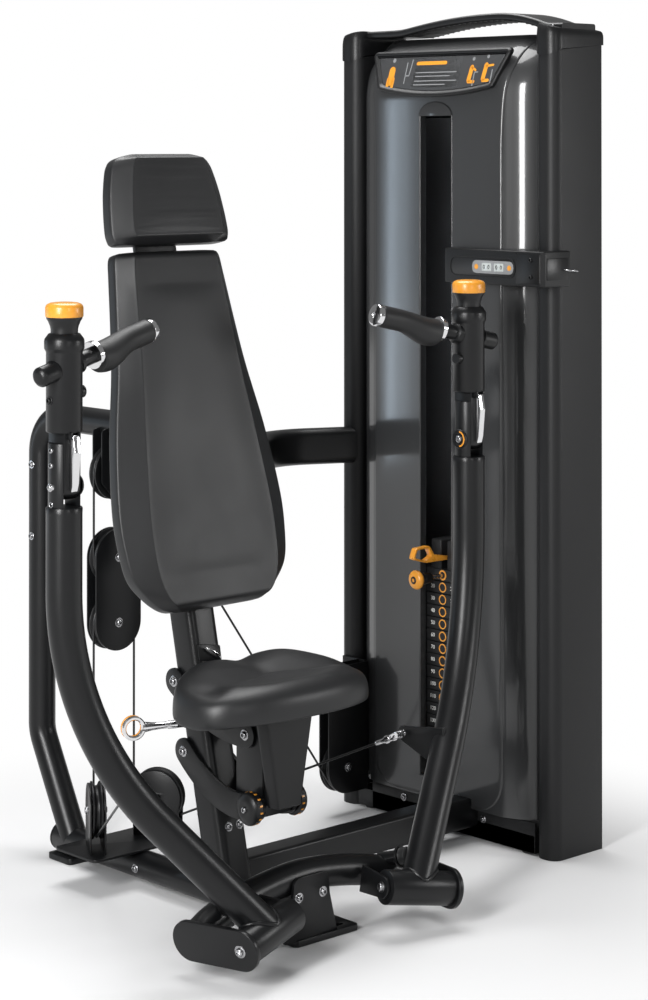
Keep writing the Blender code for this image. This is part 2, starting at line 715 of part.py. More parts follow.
LOWER_REAR = lean(0, PIVOT_BACK, LOWER_PIVOT_UP)
UPPER_REAR = lean(0, PIVOT_BACK, UPPER_PIVOT_UP)
LOWER_FRONT = LOWER_REAR + LINK_STEP
UPPER_FRONT = UPPER_REAR + LINK_STEP
HALF_W = COLUMN_W / 2
LINK_X = HALF_W + FIT


def build_column():
    path = [lean(0, 0, 0), lean(0, 0, COLUMN_LENGTH)]
    column = finish("seat_column", sweep(path, rounded_box(COLUMN_W, COLUMN_D, COLUMN_CORNER), (1, 0, 0)), POWDER)
    for pivot in (LOWER_REAR, UPPER_REAR):
        union(column, cross_rod(pivot, HALF_W - 0.001, LINK_R - 0.002, 16))
        cut(column, cross_rod(pivot, 0.1, PIN_R + FIT))
    cut(column, runner_cutter(), block((-0.1, 0.1, -0.1), (0.1, 0.4, RUNNER_Z)))


def build_rear_frame():
    column_rear = lean(0, COLUMN_D / 2 + GAP, (TOP_ARM_Z - RUNNER_Z) / math.cos(LEAN))
    normal = lean(0, 1, 0) - lean(0, 0, 0)
    path = bend([(0, UPRIGHT_FOOT_Y, RUNNER_Z), (0, UPRIGHT_Y, UPRIGHT_KNEE_Z), (0, UPRIGHT_Y, TOP_ARM_Z),
                 column_rear + Vector((0, 0, TOP_ARM_Z - column_rear.z))], 0.085)
    upright = finish("rear_upright", sweep(path, circle(UPRIGHT_R), (1, 0, 0), (None, (column_rear, normal))), POWDER)
    cut(upright, runner_cutter(), block((-0.1, 0.6, -0.1), (0.1, 0.9, RUNNER_Z)))
    column_y = lean(0, 0, (TIE_Z - RUNNER_Z) / math.cos(LEAN)).y
    start_x, end_x = HALF_W + GAP, TOWER_X - GAP
    rear_y = TOWER_Y + TOWER_W - POST_W / 2
    corners = [(start_x, column_y + 0.004, TIE_Z), (TOWER_X - 0.179, rear_y + TIE_BOW, TIE_Z), (end_x, rear_y, TIE_Z)]
    tie = sweep(bend(corners, 0.170, 7), rounded_box(TIE_H, TIE_D, 0.020), UP,
                (((start_x, 0, 0), (1, 0, 0)), ((end_x, 0, 0), (1, 0, 0))))
    finish("tie_beam", tie, POWDER)


# Seat

def link_outline(front, rear, sag):
    """Curved link seen from the side: (y, z) points round a sagging centreline."""
    a, b = Vector((front.y, front.z)), Vector((rear.y, rear.z))
    middle = (a + b) / 2 + Vector((0, -2 * sag))
    line = []
    steps = 8
    for i in range(steps + 1):
        t = i / steps
        line.append(a * (1 - t) ** 2 + middle * 2 * t * (1 - t) + b * t * t)
    lower, upper = [], []
    for i, point in enumerate(line):
        heading = (line[min(i + 1, steps)] - line[max(i - 1, 0)]).normalized()
        across = Vector((-heading.y, heading.x)) * LINK_R
        lower.append(point - across)
        upper.append(point + across)
    first = math.degrees(math.atan2(*(upper[0] - a).yx))
    last = math.degrees(math.atan2(*(lower[-1] - b).yx))
    points = [tuple(p) for p in lower[:-1]] + arc(tuple(b), LINK_R, last, last + 180, 5)
    points += [tuple(p) for p in upper[-2::-1]] + arc(tuple(a), LINK_R, first, first + 180, 5)[1:-1]
    return points


def build_links(name, front, rear, sag, dials):
    outline = link_outline(front, rear, sag)
    first = plate(outline, (LINK_X, 0, 0), (0, 1, 0), UP, LINK_T)
    links = finish(name, group(first, plate(outline, (-LINK_X - LINK_T, 0, 0), (0, 1, 0), UP, LINK_T)), POWDER, rear)
    reach = LINK_X + LINK_T + 0.006
    union(links, cross_rod(rear, reach, PIN_R), cross_rod(front, reach, PIN_R))
    if dials:
        start = LINK_X + LINK_T - 0.001
        neck = start + 0.006
        dial = turned(((start, DIAL_NECK_R), (neck, DIAL_NECK_R), (neck, DIAL_R), (start + DIAL_T * 0.7, DIAL_R),
                       (start + DIAL_T, DIAL_R * 0.72)), (0, front.y, front.z), (1, 0, 0))
        union(links, mirrored(dial), dial)


def build_carriage():
    under = UPPER_FRONT.z + SEAT_RISE
    plate_low = under - GAP - SEAT_PLATE_T
    frame_low = LOWER_FRONT.z - 0.018
    frame_front = LOWER_FRONT.y - 0.018
    carriage = finish("seat_carriage", block((-HALF_W, frame_front, frame_low), (HALF_W, UPPER_FRONT.y + 0.038, plate_low + 0.004)),
                      SHROUD, LOWER_FRONT)
    cover_rear = LOWER_FRONT.y - LINK_R - 0.001
    cover_low = frame_low + 0.020
    outline = [(-0.041, cover_low), (0.041, cover_low), (0.074, plate_low + 0.004), (-0.074, plate_low + 0.004)]
    cover = plate(outline, (0, cover_rear, 0), (1, 0, 0), UP, 0.027)
    neck = block((0.002 - HALF_W, cover_rear - 0.004, cover_low + 0.004), (HALF_W - 0.002, frame_front + 0.004, plate_low + 0.002))
    seat_plate = block((-0.150, frame_front - 0.028, plate_low), (0.150, UPPER_FRONT.y + 0.056, under - GAP))
    ears = [block((RELEASE.x - 0.009, RELEASE.y + y0, RELEASE.z - 0.010), (RELEASE.x + 0.013, RELEASE.y + y1, plate_low + WELD))
            for y0, y1 in ((-0.0185, -0.0125), (0.0125, 0.0185))]
    pin = rod((RELEASE.x, RELEASE.y - 0.0185, RELEASE.z), (RELEASE.x, RELEASE.y + 0.0185, RELEASE.z), 0.004, 10)
    union(carriage, neck, cover, seat_plate, *ears, pin)
    cut(carriage, cross_rod(LOWER_FRONT, 0.1, PIN_R + FIT), cross_rod(UPPER_FRONT, 0.1, PIN_R + FIT))


RELEASE = Vector((-0.085, UPPER_FRONT.y + 0.038, UPPER_FRONT.z + SEAT_RISE - 0.027))
RELEASE_END = RELEASE + Vector((-0.165, 0.064, 0.0))


def build_release():
    """Seat release lever: an eye on its pin, a rod and a finger ring."""
    eye = rod((RELEASE.x, RELEASE.y - 0.012, RELEASE.z), (RELEASE.x, RELEASE.y + 0.012, RELEASE.z), 0.0095, 12)
    lever = finish("seat_release", eye, CHROME, RELEASE)
    heading = (RELEASE_END - RELEASE).normalized()
    stem = rod(RELEASE + heading * 0.006, RELEASE_END - heading * 0.018, 0.0075, 12)
    across = heading.cross(UP)
    loop = ring(RELEASE_END - across * 0.009, RELEASE_END + across * 0.009, 0.022, 0.0155, 20)
    union(lever, stem, loop)
    cut(lever, rod((RELEASE.x, RELEASE.y - 0.05, RELEASE.z), (RELEASE.x, RELEASE.y + 0.05, RELEASE.z), 0.0043, 10))


def build_seat_pad():
    """Saddle pad: thick rounded rim, top rising to two rear lobes with a shallow crease between them."""
    under = UPPER_FRONT.z + SEAT_RISE
    middle = (SEAT_FRONT_Y + SEAT_REAR_Y) / 2
    half_l = (SEAT_REAR_Y - SEAT_FRONT_Y) / 2
    plan = []
    sides = 32
    for i in range(sides):
        c, s = math.cos(2 * math.pi * i / sides), math.sin(2 * math.pi * i / sides)
        plan.append((math.copysign(abs(c) ** (2 / SEAT_ROUND), c), math.copysign(abs(s) ** (2 / SEAT_ROUND), s)))
    rings = []
    for scale, height in ((0.55, 0.0), (0.98, 0.0), (1.0, 0.14), (0.995, 0.50), (0.965, 0.82), (0.89, 1.0), (0.72, 1.06), (0.50, 1.08),
                          (0.26, 1.08), (0.06, 1.08)):
        loop = []
        for a, b in plan:
            x, y = a * scale, b * scale
            lobe = 0.008 * math.exp(-((abs(x) - 0.5) / 0.28) ** 2) - 0.007 * math.exp(-(x / 0.13) ** 2)
            rise = ((y + 1) / 2) ** 1.6
            top = SEAT_PAD_T + (SEAT_KICK + lobe) * rise - 0.010 * max(0.0, -y) ** 3
            loop.append(Vector((SEAT_HALF_W * x, middle + half_l * y, under + top * height)))
        rings.append(loop)
    finish("seat_pad", loft(rings), VINYL, LOWER_FRONT)


# Back and head pads

def pad_rings(outline, low, rear, thickness):
    """Rings of a pad with a flat back, rolled sides, a bevelled face and a crown."""
    top = outline[-1][0]
    stops = [0.0, 0.012, 0.035, 0.09]
    middle = [p for p, _ in outline if 0.12 < p < top - 0.07]
    stops += middle + [top - 0.06, top - 0.028, top - 0.010, top]
    rings = []
    for up in stops:
        half = mix(outline, up)
        end = min(up, top - up) / 0.035
        roll = min(1.0, end) ** 0.5 * 0.45 + 0.55
        deep = thickness * roll
        half *= 0.94 + 0.06 * min(1.0, end) ** 0.5
        face = [(0.86, 0.0), (0.93, 0.10), (0.985, 0.38), (1.0, 0.62), (0.955, 0.78), (0.80, 0.90), (0.55, 0.965), (0.28, 0.99)]
        right = [(half * a, rear - deep * b) for a, b in face]
        loop = right + [(0.0, rear - deep)] + [(-x, y) for x, y in reversed(right)]
        rings.append([lean(x, back, low + up) for x, back in loop])
    return rings


def build_back():
    board_rear = -COLUMN_D / 2 - GAP
    board_front = board_rear - BOARD_T
    board = finish("back_board", lean_block((-BOARD_HALF_W, board_front, BACK_LOW + 0.05), (BOARD_HALF_W, board_rear, BACK_LOW + 0.70)), BLACK)
    stem = lean_block((-0.055, board_front + 0.001, BACK_LOW + 0.66), (0.055, board_rear - 0.001, HEAD_LOW + HEAD_PLATE_H))
    head = lean_block((-0.085, board_front - HEAD_FORWARD, HEAD_LOW + 0.025), (0.085, board_front + 0.004, HEAD_LOW + 0.025 + HEAD_PLATE_H))
    union(board, stem, head)
    back_rings = pad_rings(BACK_OUTLINE, BACK_LOW, board_front - GAP, BACK_PAD_T)
    finish("backrest_pad", loft(back_rings), VINYL)
    head_rings = pad_rings(HEAD_OUTLINE, HEAD_LOW, board_front - HEAD_FORWARD - GAP, HEAD_PAD_T)
    finish("headrest_pad", loft(head_rings), VINYL)


# Weight tower

def column_outline():
    """Plan of a tower column: round nose to the front, square back."""
    half = POST_W / 2
    points = arc((NOSE_R, half - NOSE_R), NOSE_R, 90, 180, 5) + arc((NOSE_R, NOSE_R - half), NOSE_R, 180, 270, 5)
    return points + [(TOWER_D, -half), (TOWER_D, half)]


def build_tower_frame():
    for name, y in (("tower_front_column", TOWER_Y + POST_W / 2), ("tower_rear_column", TOWER_Y + TOWER_W - POST_W / 2)):
        post = plate(column_outline(), (TOWER_X, y, 0), (1, 0, 0), (0, 1, 0), TOWER_H)
        finish(name, post, COLUMN_COAT)
    cap_top = TOWER_H + GAP + CAP_H - WELD
    span = TOWER_W / 2 - 0.006
    path = []
    steps = 16
    for i in range(steps + 1):
        k = -1 + 2 * i / steps
        fall = k - ARCH_PEAK
        rise = ARCH_RISE - (0.036 if fall > 0 else 0.144) * fall * fall
        rise = (rise + math.hypot(rise, 0.004)) / 2
        path.append(Vector((ARCH_X + ARCH_W / 2, TOWER_MID + span * k, cap_top + ARCH_T / 2 - WELD + rise)))
    crown = finish("tower_crown", sweep(path, rounded_box(ARCH_W, ARCH_T, 0.008, 2), (1, 0, 0)), BLACK)
    grow = 1 + 2 * CAP_LIP / POST_W
    for y in (TOWER_Y + POST_W / 2, TOWER_Y + TOWER_W - POST_W / 2):
        rings = []
        for z, scale in ((0, grow), (CAP_H * 0.7, grow), (CAP_H, 0.94)):
            rings.append([Vector((TOWER_X + TOWER_D / 2 + (a - TOWER_D / 2) * (1 + (scale - 1) * 0.4), y + b * scale,
                                  TOWER_H + GAP + z)) for a, b in column_outline()])
        union(crown, loft(rings))


def shroud_shift(z):
    """How far the front shroud's top rolls back."""
    k = max(0.0, (z - SHROUD_BEND_Z) / (SHROUD_TOP_Z - SHROUD_BEND_Z))
    return SHROUD_ROLL * k ** 3


def build_shrouds():
    half = (INNER_Y1 - INNER_Y0) / 2 - GAP
    profile = [(-half, 0.052), (-half * 0.93, 0.030), (-half * 0.84, 0.016), (-half * 0.745, 0.0075), (-half * 0.70, 0.002),
               (-half * 0.35, 0.0005), (0, 0)]
    profile += [(-y, x) for y, x in reversed(profile[:-1])]
    rise = SHROUD_TOP_Z - SHROUD_BEND_Z
    levels = [SHROUD_LOW_Z] + [SHROUD_BEND_Z + rise * k for k in (0.0, 0.36, 0.62, 0.82, 1.0)]
    rings = []
    for z in levels:
        x = SHROUD_X + shroud_shift(z)
        narrow = 1.0 if z < TOWER_H - 0.025 else 1 - (CAP_LIP + 2 * GAP) / half
        front = [Vector((x + dx, TOWER_MID + dy * narrow, z)) for dy, dx in profile]
        back = [p + Vector((SHROUD_T, 0, 0)) for p in reversed(front)]
        rings.append(front + back)
    shroud = finish("front_shroud", loft(rings), SHROUD)
    slot = block((SHROUD_X - 0.05, TOWER_MID - SLOT_W / 2, SLOT_LOW_Z), (SHROUD_X + 0.05, TOWER_MID + SLOT_W / 2, SLOT_TOP_Z))
    notch = block((SHROUD_X - 0.05, BEAM_Y - BEAM_W / 2 - 0.001, 0), (SHROUD_X + 0.05, BEAM_Y + BEAM_W / 2 + 0.001, BEAM_LOW_Z + BEAM_H + 0.001))
    cut(shroud, slot, notch)
    rear_x = TOWER_X + TOWER_D - SHROUD_T - 0.0005
    rear = block((rear_x, TOWER_MID - half, SHROUD_LOW_Z), (rear_x + SHROUD_T, TOWER_MID + half, TOWER_H - 0.010))
    finish("rear_shroud", rear, SHROUD)
    low, high = SLOT_TOP_Z + 0.042, TOWER_H - 0.004
    outline = []
    for y, v in ((-0.196, 0.02), (-0.168, 0.0), (0.168, 0.0), (0.196, 0.02), (0.222, 0.92), (0.200, 1.0), (-0.200, 1.0), (-0.222, 0.92)):
        z = low + (high - low) * v
        outline.append((y, z))
    rake = math.tan(PLACARD_RAKE)
    touch = SHROUD_BEND_Z + rise * 0.36
    seat = SHROUD_X + shroud_shift(touch) - GAP - (touch - low) * rake
    back = [Vector((seat + (z - low) * rake, TOWER_MID + y, z)) for y, z in outline]
    front = [p - Vector((PLACARD_T, 0, 0)) for p in back]
    finish("placard", loft([front, back]), BLACK)


# Weight stack

STACK_Z = BASE_TOP_Z + GAP + CUSHION_H + GAP
HEAD_Z = STACK_Z + PLATE_COUNT * PLATE_PITCH
PIN_Z = HEAD_Z + PLATE_PITCH / 2


def weight_plate(low):
    thick = PLATE_PITCH - GAP
    bm = block((STACK_X, TOWER_MID - PLATE_W / 2, low), (STACK_X + PLATE_D, TOWER_MID + PLATE_W / 2, low + thick))
    return soften(bm, 0.002)


def guide_rods(radius, end=0.0):
    """The two guide rods as solids; a larger radius makes their bores."""
    rods = []
    for k in (-1, 1):
        y = TOWER_MID + k * ROD_SPREAD
        rods.append(rod((STACK_MID_X, y, BASE_TOP_Z + GAP - end), (STACK_MID_X, y, TOP_BAR_Z + WELD + end), radius, 12))
    return group(*rods)


def build_stack():
    low = BASE_TOP_Z + GAP
    cushion = finish("stack_cushion", block((STACK_MID_X - CUSHION_R, TOWER_MID - ROD_SPREAD - CUSHION_R, low),
                                            (STACK_MID_X + CUSHION_R, TOWER_MID + ROD_SPREAD + CUSHION_R, low + CUSHION_H)), RUBBER)
    cut(cushion, guide_rods(ROD_R + GAP, 0.02), block((STACK_MID_X - 0.1, TOWER_MID - ROD_SPREAD + CUSHION_R, low + 0.012),
                                                (STACK_MID_X + 0.1, TOWER_MID + ROD_SPREAD - CUSHION_R, low + 0.2)))
    rings = []
    for i in range(PLATE_COUNT):
        for z, inset in ((0, SEAM), (0, 0), (1, 0), (1, SEAM)):
            height = STACK_Z + i * PLATE_PITCH + z * (PLATE_PITCH - SEAM / 2)
            x0, x1 = STACK_X + inset, STACK_X + PLATE_D - inset
            y0, y1 = TOWER_MID - PLATE_W / 2 + inset, TOWER_MID + PLATE_W / 2 - inset
            rings.append([Vector(p) for p in ((x0, y0, height), (x1, y0, height), (x1, y1, height), (x0, y1, height))])
    stack = finish("weight_stack", loft(rings[1:-1]), IRON)
    bores = [rod((STACK_MID_X, TOWER_MID, STACK_Z - 0.01), (STACK_MID_X, TOWER_MID, HEAD_Z + 0.05), STEM_R + BORE_FIT, 12)]
    cut(stack, guide_rods(ROD_R + BORE_FIT), *bores)
    heights = [STACK_Z + (i + 0.5) * PLATE_PITCH for i in range(PLATE_COUNT)]
    cut(stack, group(*[rod((STACK_X - 0.01, TOWER_MID, z), (STACK_MID_X, TOWER_MID, z), PIN_HOLE_R, 8) for z in heights]))
    origin = (STACK_MID_X, TOWER_MID, PIN_Z)
    head = finish("head_plate", weight_plate(HEAD_Z), IRON, origin)
    hood = soften(block((STACK_X + 0.004, TOWER_MID - 0.042, HEAD_Z + PLATE_PITCH - 0.004),
                        (STACK_X + PLATE_D - 0.012, TOWER_MID + 0.042, HEAD_Z + PLATE_PITCH + HEAD_BLOCK_H)), 0.006)
    stem = rod((STACK_MID_X, TOWER_MID, STACK_Z + 0.004), (STACK_MID_X, TOWER_MID, HEAD_Z + PLATE_PITCH), STEM_R, 12)
    union(head, hood, stem)
    for k in (-1, 1):
        y = TOWER_MID + k * ROD_SPREAD
        cut(head, rod((STACK_MID_X, y, HEAD_Z - 0.05), (STACK_MID_X, y, HEAD_Z + 0.2), ROD_R + FIT, 12))
    cut(head, rod((STACK_X - 0.05, TOWER_MID, PIN_Z), (STACK_MID_X + 0.030, TOWER_MID, PIN_Z), PIN_HOLE_R, 10))
    lever_slot = block((STACK_X - 0.05, TOWER_MID - LEVER_W / 2 - FIT, LEVER_Z - 0.016), (STACK_X + 0.040, TOWER_MID + LEVER_W / 2 + FIT, LEVER_Z + 0.024))
    cut(head, lever_slot)
    union(head, rod((LEVER_X, TOWER_MID - 0.03, LEVER_Z), (LEVER_X, TOWER_MID + 0.03, LEVER_Z), 0.004, 10))
    pin_start = SHROUD_X - 0.075
    pin = turned(((pin_start, 0.010), (pin_start + 0.003, 0.020), (pin_start + 0.010, 0.022), (pin_start + 0.019, 0.017),
                  (pin_start + 0.021, 0.0135), (pin_start + 0.052, 0.0125), (pin_start + 0.055, SELECTOR_R),
                  (STACK_MID_X + 0.024, SELECTOR_R), (STACK_MID_X + 0.027, SELECTOR_R * 0.6)),
                 (0, TOWER_MID, PIN_Z), (1, 0, 0), sides=12)
    finish("selector_pin", pin, ORANGE, (pin_start, TOWER_MID, PIN_Z))


LEVER_W = 0.016
LEVER_X = STACK_X + 0.022
LEVER_Z = HEAD_Z + PLATE_PITCH + 0.030


def build_addon_lever():
    """Orange loop lever of the add-on weight, on a cross pin in the head plate's hood."""
    tip = SHROUD_X - 0.082
    outer = [(LEVER_X + 0.008, LEVER_Z - 0.008), (LEVER_X + 0.008, LEVER_Z + 0.008), (SHROUD_X - 0.014, LEVER_Z + 0.008),
             (SHROUD_X - 0.030, LEVER_Z + 0.030), (tip + 0.010, LEVER_Z + 0.028), (tip, LEVER_Z + 0.004), (SHROUD_X - 0.040, LEVER_Z - 0.008)]
    hole = [(SHROUD_X - 0.026, LEVER_Z + 0.008), (SHROUD_X - 0.036, LEVER_Z + 0.023), (tip + 0.015, LEVER_Z + 0.021),
            (tip + 0.009, LEVER_Z + 0.008), (SHROUD_X - 0.042, LEVER_Z + 0.000)]
    lever = finish("addon_lever", plate(outer, (0, TOWER_MID + LEVER_W / 2, 0), (1, 0, 0), UP, LEVER_W), ORANGE,
                   (LEVER_X, TOWER_MID, LEVER_Z))
    cut(lever, plate(hole, (0, TOWER_MID + LEVER_W, 0), (1, 0, 0), UP, LEVER_W * 2),
        rod((LEVER_X, TOWER_MID - 0.05, LEVER_Z), (LEVER_X, TOWER_MID + 0.05, LEVER_Z), 0.0043, 10))


# Rep counter

def build_counter():
    low, high = COUNTER_Z - COUNTER_H / 2, COUNTER_Z + COUNTER_H / 2
    back = COUNTER_X + COUNTER_T
    outer = TOWER_Y - GAP
    outline = [(COUNTER_X, COUNTER_Y - 0.010), (COUNTER_X, outer - COUNTER_WRAP + 0.008), (COUNTER_X + 0.008, outer - COUNTER_WRAP),
               (TOWER_X + 0.034, outer - COUNTER_WRAP), (TOWER_X + 0.034, outer), (TOWER_X - GAP, outer),
               (TOWER_X - GAP, TOWER_Y + POST_W - 0.012), (back, TOWER_Y + POST_W - 0.012), (back, COUNTER_Y), (COUNTER_X + 0.010, COUNTER_Y)]
    counter = finish("rep_counter", plate(outline, (0, 0, low), (1, 0, 0), (0, 1, 0), high - low), BLACK)
    for y in COUNTER_BUTTON_Y:
        cut(counter, rod((COUNTER_X - 0.01, y, COUNTER_Z), (COUNTER_X + 0.008, y, COUNTER_Z), COUNTER_BUTTON_R + FIT, 12))
    for side, y in zip(("left", "right"), COUNTER_BUTTON_Y):
        button = rod((COUNTER_X - 0.002, y, COUNTER_Z), (COUNTER_X + 0.0055, y, COUNTER_Z), COUNTER_BUTTON_R, 12)
        finish(f"counter_{side}_button", button, ORANGE, (COUNTER_X, y, COUNTER_Z))


# Pulleys, brackets and cables

CHEEK_AT = SHEAVE_T / 2 + CHEEK_CLEAR
FLOAT_LOW = Vector((0, DRIVE_Y, FLOAT_LOW_Z))
FLOAT_HIGH = Vector((0, DRIVE_Y, FLOAT_HIGH_Z))
UPPER = Vector((0, DRIVE_Y, UPPER_PULLEY_Z))
TOWER_FRONT = Vector((TOWER_PULLEY_X, DRIVE_Y, TOWER_PULLEY_Z))
TOWER_REAR = Vector((TOWER_REAR_X, DRIVE_Y, TOWER_PULLEY_Z))
LEG = Vector((PITCH_R, DRIVE_Y, 0))
BASE_DIR = Vector((LUG_PIN.x - LEG.x, LUG_PIN.y - LEG.y, 0)).normalized()
BASE = Vector((LEG.x, LEG.y, BASE_PULLEY_Z)) + BASE_DIR * PITCH_R
RISER = Vector((TOWER_REAR_X + PITCH_R, DRIVE_Y, 0))
DROP = Vector((STACK_MID_X, TOWER_MID, 0))
TOP_DIR = (DROP - RISER).normalized()
TOP_REAR = Vector((RISER.x, RISER.y, TOP_PULLEY_Z)) + TOP_DIR * PITCH_R
TOP_FRONT = Vector((DROP.x, DROP.y, TOP_PULLEY_Z)) - TOP_DIR * PITCH_R


def pulley(name, centre, plane):
    """A grooved pulley whose disc lies along a horizontal plane direction."""
    axis = Vector(plane).cross(UP)
    half = SHEAVE_T / 2
    groove = PITCH_R - CABLE_R - GROOVE_FIT
    bore = AXLE_R + FIT
    rings = []
    axis, first, second = frame_axes(axis, UP)
    for along, radius in ((-half, bore), (-half, SHEAVE_R), (-half * 0.7, SHEAVE_R), (-CABLE_R - GAP, groove), (CABLE_R + GAP, groove),
                          (half * 0.7, SHEAVE_R), (half, SHEAVE_R), (half, bore)):
        rings.append([centre + axis * along + first * a + second * b for a, b in circle(radius)])
    finish(name, loft_closed(rings), BLACK, centre)


def bracket_pair(outline, centre, plane, bolts, holes=True):
    """Two cheek plates beside a pulley and the axles between them, as one solid each side joined by axles."""
    plane = Vector(plane)
    axis = plane.cross(UP)
    solids = []
    for offset in (CHEEK_AT, -CHEEK_AT - CHEEK_T):
        spot = Vector((centre.x, centre.y, 0)) + axis * offset
        solids.append(plate([(a, b) for a, b in outline], spot + axis * CHEEK_T, plane, UP, -CHEEK_T))
    axles = [rod(Vector(b) - axis * (CHEEK_AT + CHEEK_T + 0.003), Vector(b) + axis * (CHEEK_AT + CHEEK_T + 0.003), r, 12) for b, r in bolts]
    return solids, axles


def build_pulleys():
    x_dir = Vector((1, 0, 0))
    right_base = Vector((-BASE.x, BASE.y, BASE.z))
    pulley("float_upper_pulley", FLOAT_HIGH, x_dir)
    pulley("float_lower_pulley", FLOAT_LOW, x_dir)
    pulley("upper_pulley", UPPER, x_dir)
    pulley("left_base_pulley", BASE, BASE_DIR)
    pulley("right_base_pulley", right_base, Vector((-BASE_DIR.x, BASE_DIR.y, 0)))
    pulley("tower_front_pulley", TOWER_FRONT, x_dir)
    pulley("tower_rear_pulley", TOWER_REAR, x_dir)
    pulley("top_rear_pulley", TOP_REAR, TOP_DIR)
    pulley("top_front_pulley", TOP_FRONT, TOP_DIR)


def joined(name, solids, axles, mat, origin=(0, 0, 0)):
    obj = finish(name, group(*solids), mat, origin)
    return union(obj, *axles)


def build_pulley_brackets():
    x_dir = Vector((1, 0, 0))
    block_outline = arc((0, FLOAT_LOW_Z), SHEAVE_R + 0.001, 180, 360, 10) + arc((0, FLOAT_HIGH_Z), SHEAVE_R + 0.001, 0, 180, 10)
    solids, axles = bracket_pair(block_outline, FLOAT_LOW, x_dir, ((FLOAT_LOW, AXLE_R), (FLOAT_HIGH, AXLE_R)))
    joined("float_block", solids, axles, POWDER, FLOAT_HIGH)
    hanger = [(-0.046, UPPER_PULLEY_Z - 0.02), (-0.020, UPPER_PULLEY_Z - 0.048), (0.062, DEAD_END_Z - 0.010), (0.070, DEAD_END_Z + 0.006),
              (0.050, TOP_ARM_Z - 0.006), (-0.046, TOP_ARM_Z - 0.006)]
    eye = Vector((PITCH_R, DRIVE_Y, DEAD_END_Z + 0.006))
    solids, axles = bracket_pair(hanger, UPPER, x_dir, ((UPPER, AXLE_R), (eye, 0.005)))
    upper = joined("upper_pulley_bracket", solids, axles, POWDER)
    cut(upper, rod((0, DRIVE_Y - 0.1, TOP_ARM_Z), (0, DRIVE_Y + 0.1, TOP_ARM_Z), UPRIGHT_R + GAP))
    floor = RUNNER_Z + RUNNER_R + GAP + 0.006
    saddle = [(-0.050, floor - 0.001), (0.050, floor - 0.001)] + arc((0, BASE_PULLEY_Z), SHEAVE_R - 0.003, -20, 200, 10)
    solids, axles = bracket_pair(saddle, BASE, BASE_DIR, ((BASE, AXLE_R),))
    right = joined("base_pulley_bracket", solids, axles, POWDER)
    twin = bmesh.new()
    twin.from_mesh(right.data)
    union(right, mirrored(twin), block((-0.140, BASE.y - 0.070, floor - 0.006), (0.140, BASE.y + 0.075, floor)))
    twin.free()
    flange_x = TOWER_X - GAP - 0.0077
    fork = arc((0, TOWER_PULLEY_Z), SHEAVE_R + 0.001, 180, 270, 6) + [(flange_x - TOWER_PULLEY_X + 0.002, TOWER_PULLEY_Z - SHEAVE_R - 0.001),
                                                                      (flange_x - TOWER_PULLEY_X + 0.002, FLANGE_TOP_Z), (-0.020, FLANGE_TOP_Z),
                                                                      (-SHEAVE_R - 0.001, FLANGE_TOP_Z - 0.052)]
    solids, axles = bracket_pair(fork, TOWER_FRONT, x_dir, ((TOWER_FRONT, AXLE_R),))
    flange = block((flange_x, DRIVE_Y - CHEEK_AT + 0.008, FLANGE_LOW_Z),
                   (TOWER_X - GAP, TOWER_Y + TOWER_W - POST_W / 2 + 0.012, FLANGE_TOP_Z))
    step = block((flange_x, DRIVE_Y - CHEEK_AT - CHEEK_T / 4, FLANGE_LOW_Z + 0.010),
                 (flange_x + 0.0055, DRIVE_Y, FLANGE_TOP_Z - 0.010))
    joined("tower_pulley_bracket", solids, axles + [flange, step], POWDER)


def build_tower_bars():
    """Base pan and top bar of the tower with the brackets welded to them."""
    front = TOWER_X + CAP_LIP
    base = finish("tower_base", block((front, INNER_Y0 + GAP, 0.004), (front + BASE_D, INNER_Y1 - GAP, BASE_TOP_Z)), COLUMN_COAT)
    union(base, block((front, INNER_Y0 + GAP, 0.004), (front + 0.008, DRIVE_Y - SHEAVE_T, SHROUD_LOW_Z - WELD)))
    stand = [(-0.020, BASE_TOP_Z - WELD), (0.012, BASE_TOP_Z - WELD), (0.016, TOWER_PULLEY_Z)]
    stand += arc((0, TOWER_PULLEY_Z), 0.016, 30, 180, 5)
    solids, axles = bracket_pair(stand, TOWER_REAR, (1, 0, 0), ((TOWER_REAR, AXLE_R),))
    cut(base, sheave_room(TOWER_REAR, (1, 0, 0)))
    union(base, *solids, *axles)
    bar_x = STACK_MID_X - 0.018
    bar = finish("guide_frame", block((bar_x, INNER_Y0 + GAP, TOP_BAR_Z), (bar_x + 0.062, INNER_Y1 - GAP, TOP_BAR_Z + TOP_BAR_T)), STEEL)
    cut(bar, rod((STACK_MID_X, TOWER_MID, TOP_BAR_Z - 0.01), (STACK_MID_X, TOWER_MID, TOP_BAR_Z + 0.1), 0.008, 12))
    union(bar, guide_rods(ROD_R))
    reach = (TOP_REAR - TOP_FRONT).length
    shelf = TOP_BAR_Z + TOP_BAR_T - WELD
    rail = [(-0.02, shelf), (reach - 0.030, shelf), (reach + 0.02, TOP_PULLEY_Z - 0.02), (reach + 0.02, TOP_PULLEY_Z + 0.015),
            (-0.02, TOP_PULLEY_Z + 0.015)]
    solids, axles = bracket_pair(rail, TOP_FRONT, -TOP_DIR, ((TOP_FRONT, AXLE_R), (TOP_REAR, AXLE_R)))
    union(bar, *solids, *axles)


def sheave_room(centre, plane):
    """Free space that a pulley needs in a bar."""
    axis = Vector(plane).cross(UP)
    return rod(centre - axis * CHEEK_AT, centre + axis * CHEEK_AT, SHEAVE_R + CHEEK_CLEAR, 24)


def wrap(centre, plane, start, end, steps=8):
    """Cable points round a pulley, from one angle to another in degrees."""
    plane = Vector(plane)
    return [centre + plane * a + UP * b for a, b in arc((0, 0), PITCH_R, start, end, steps)]


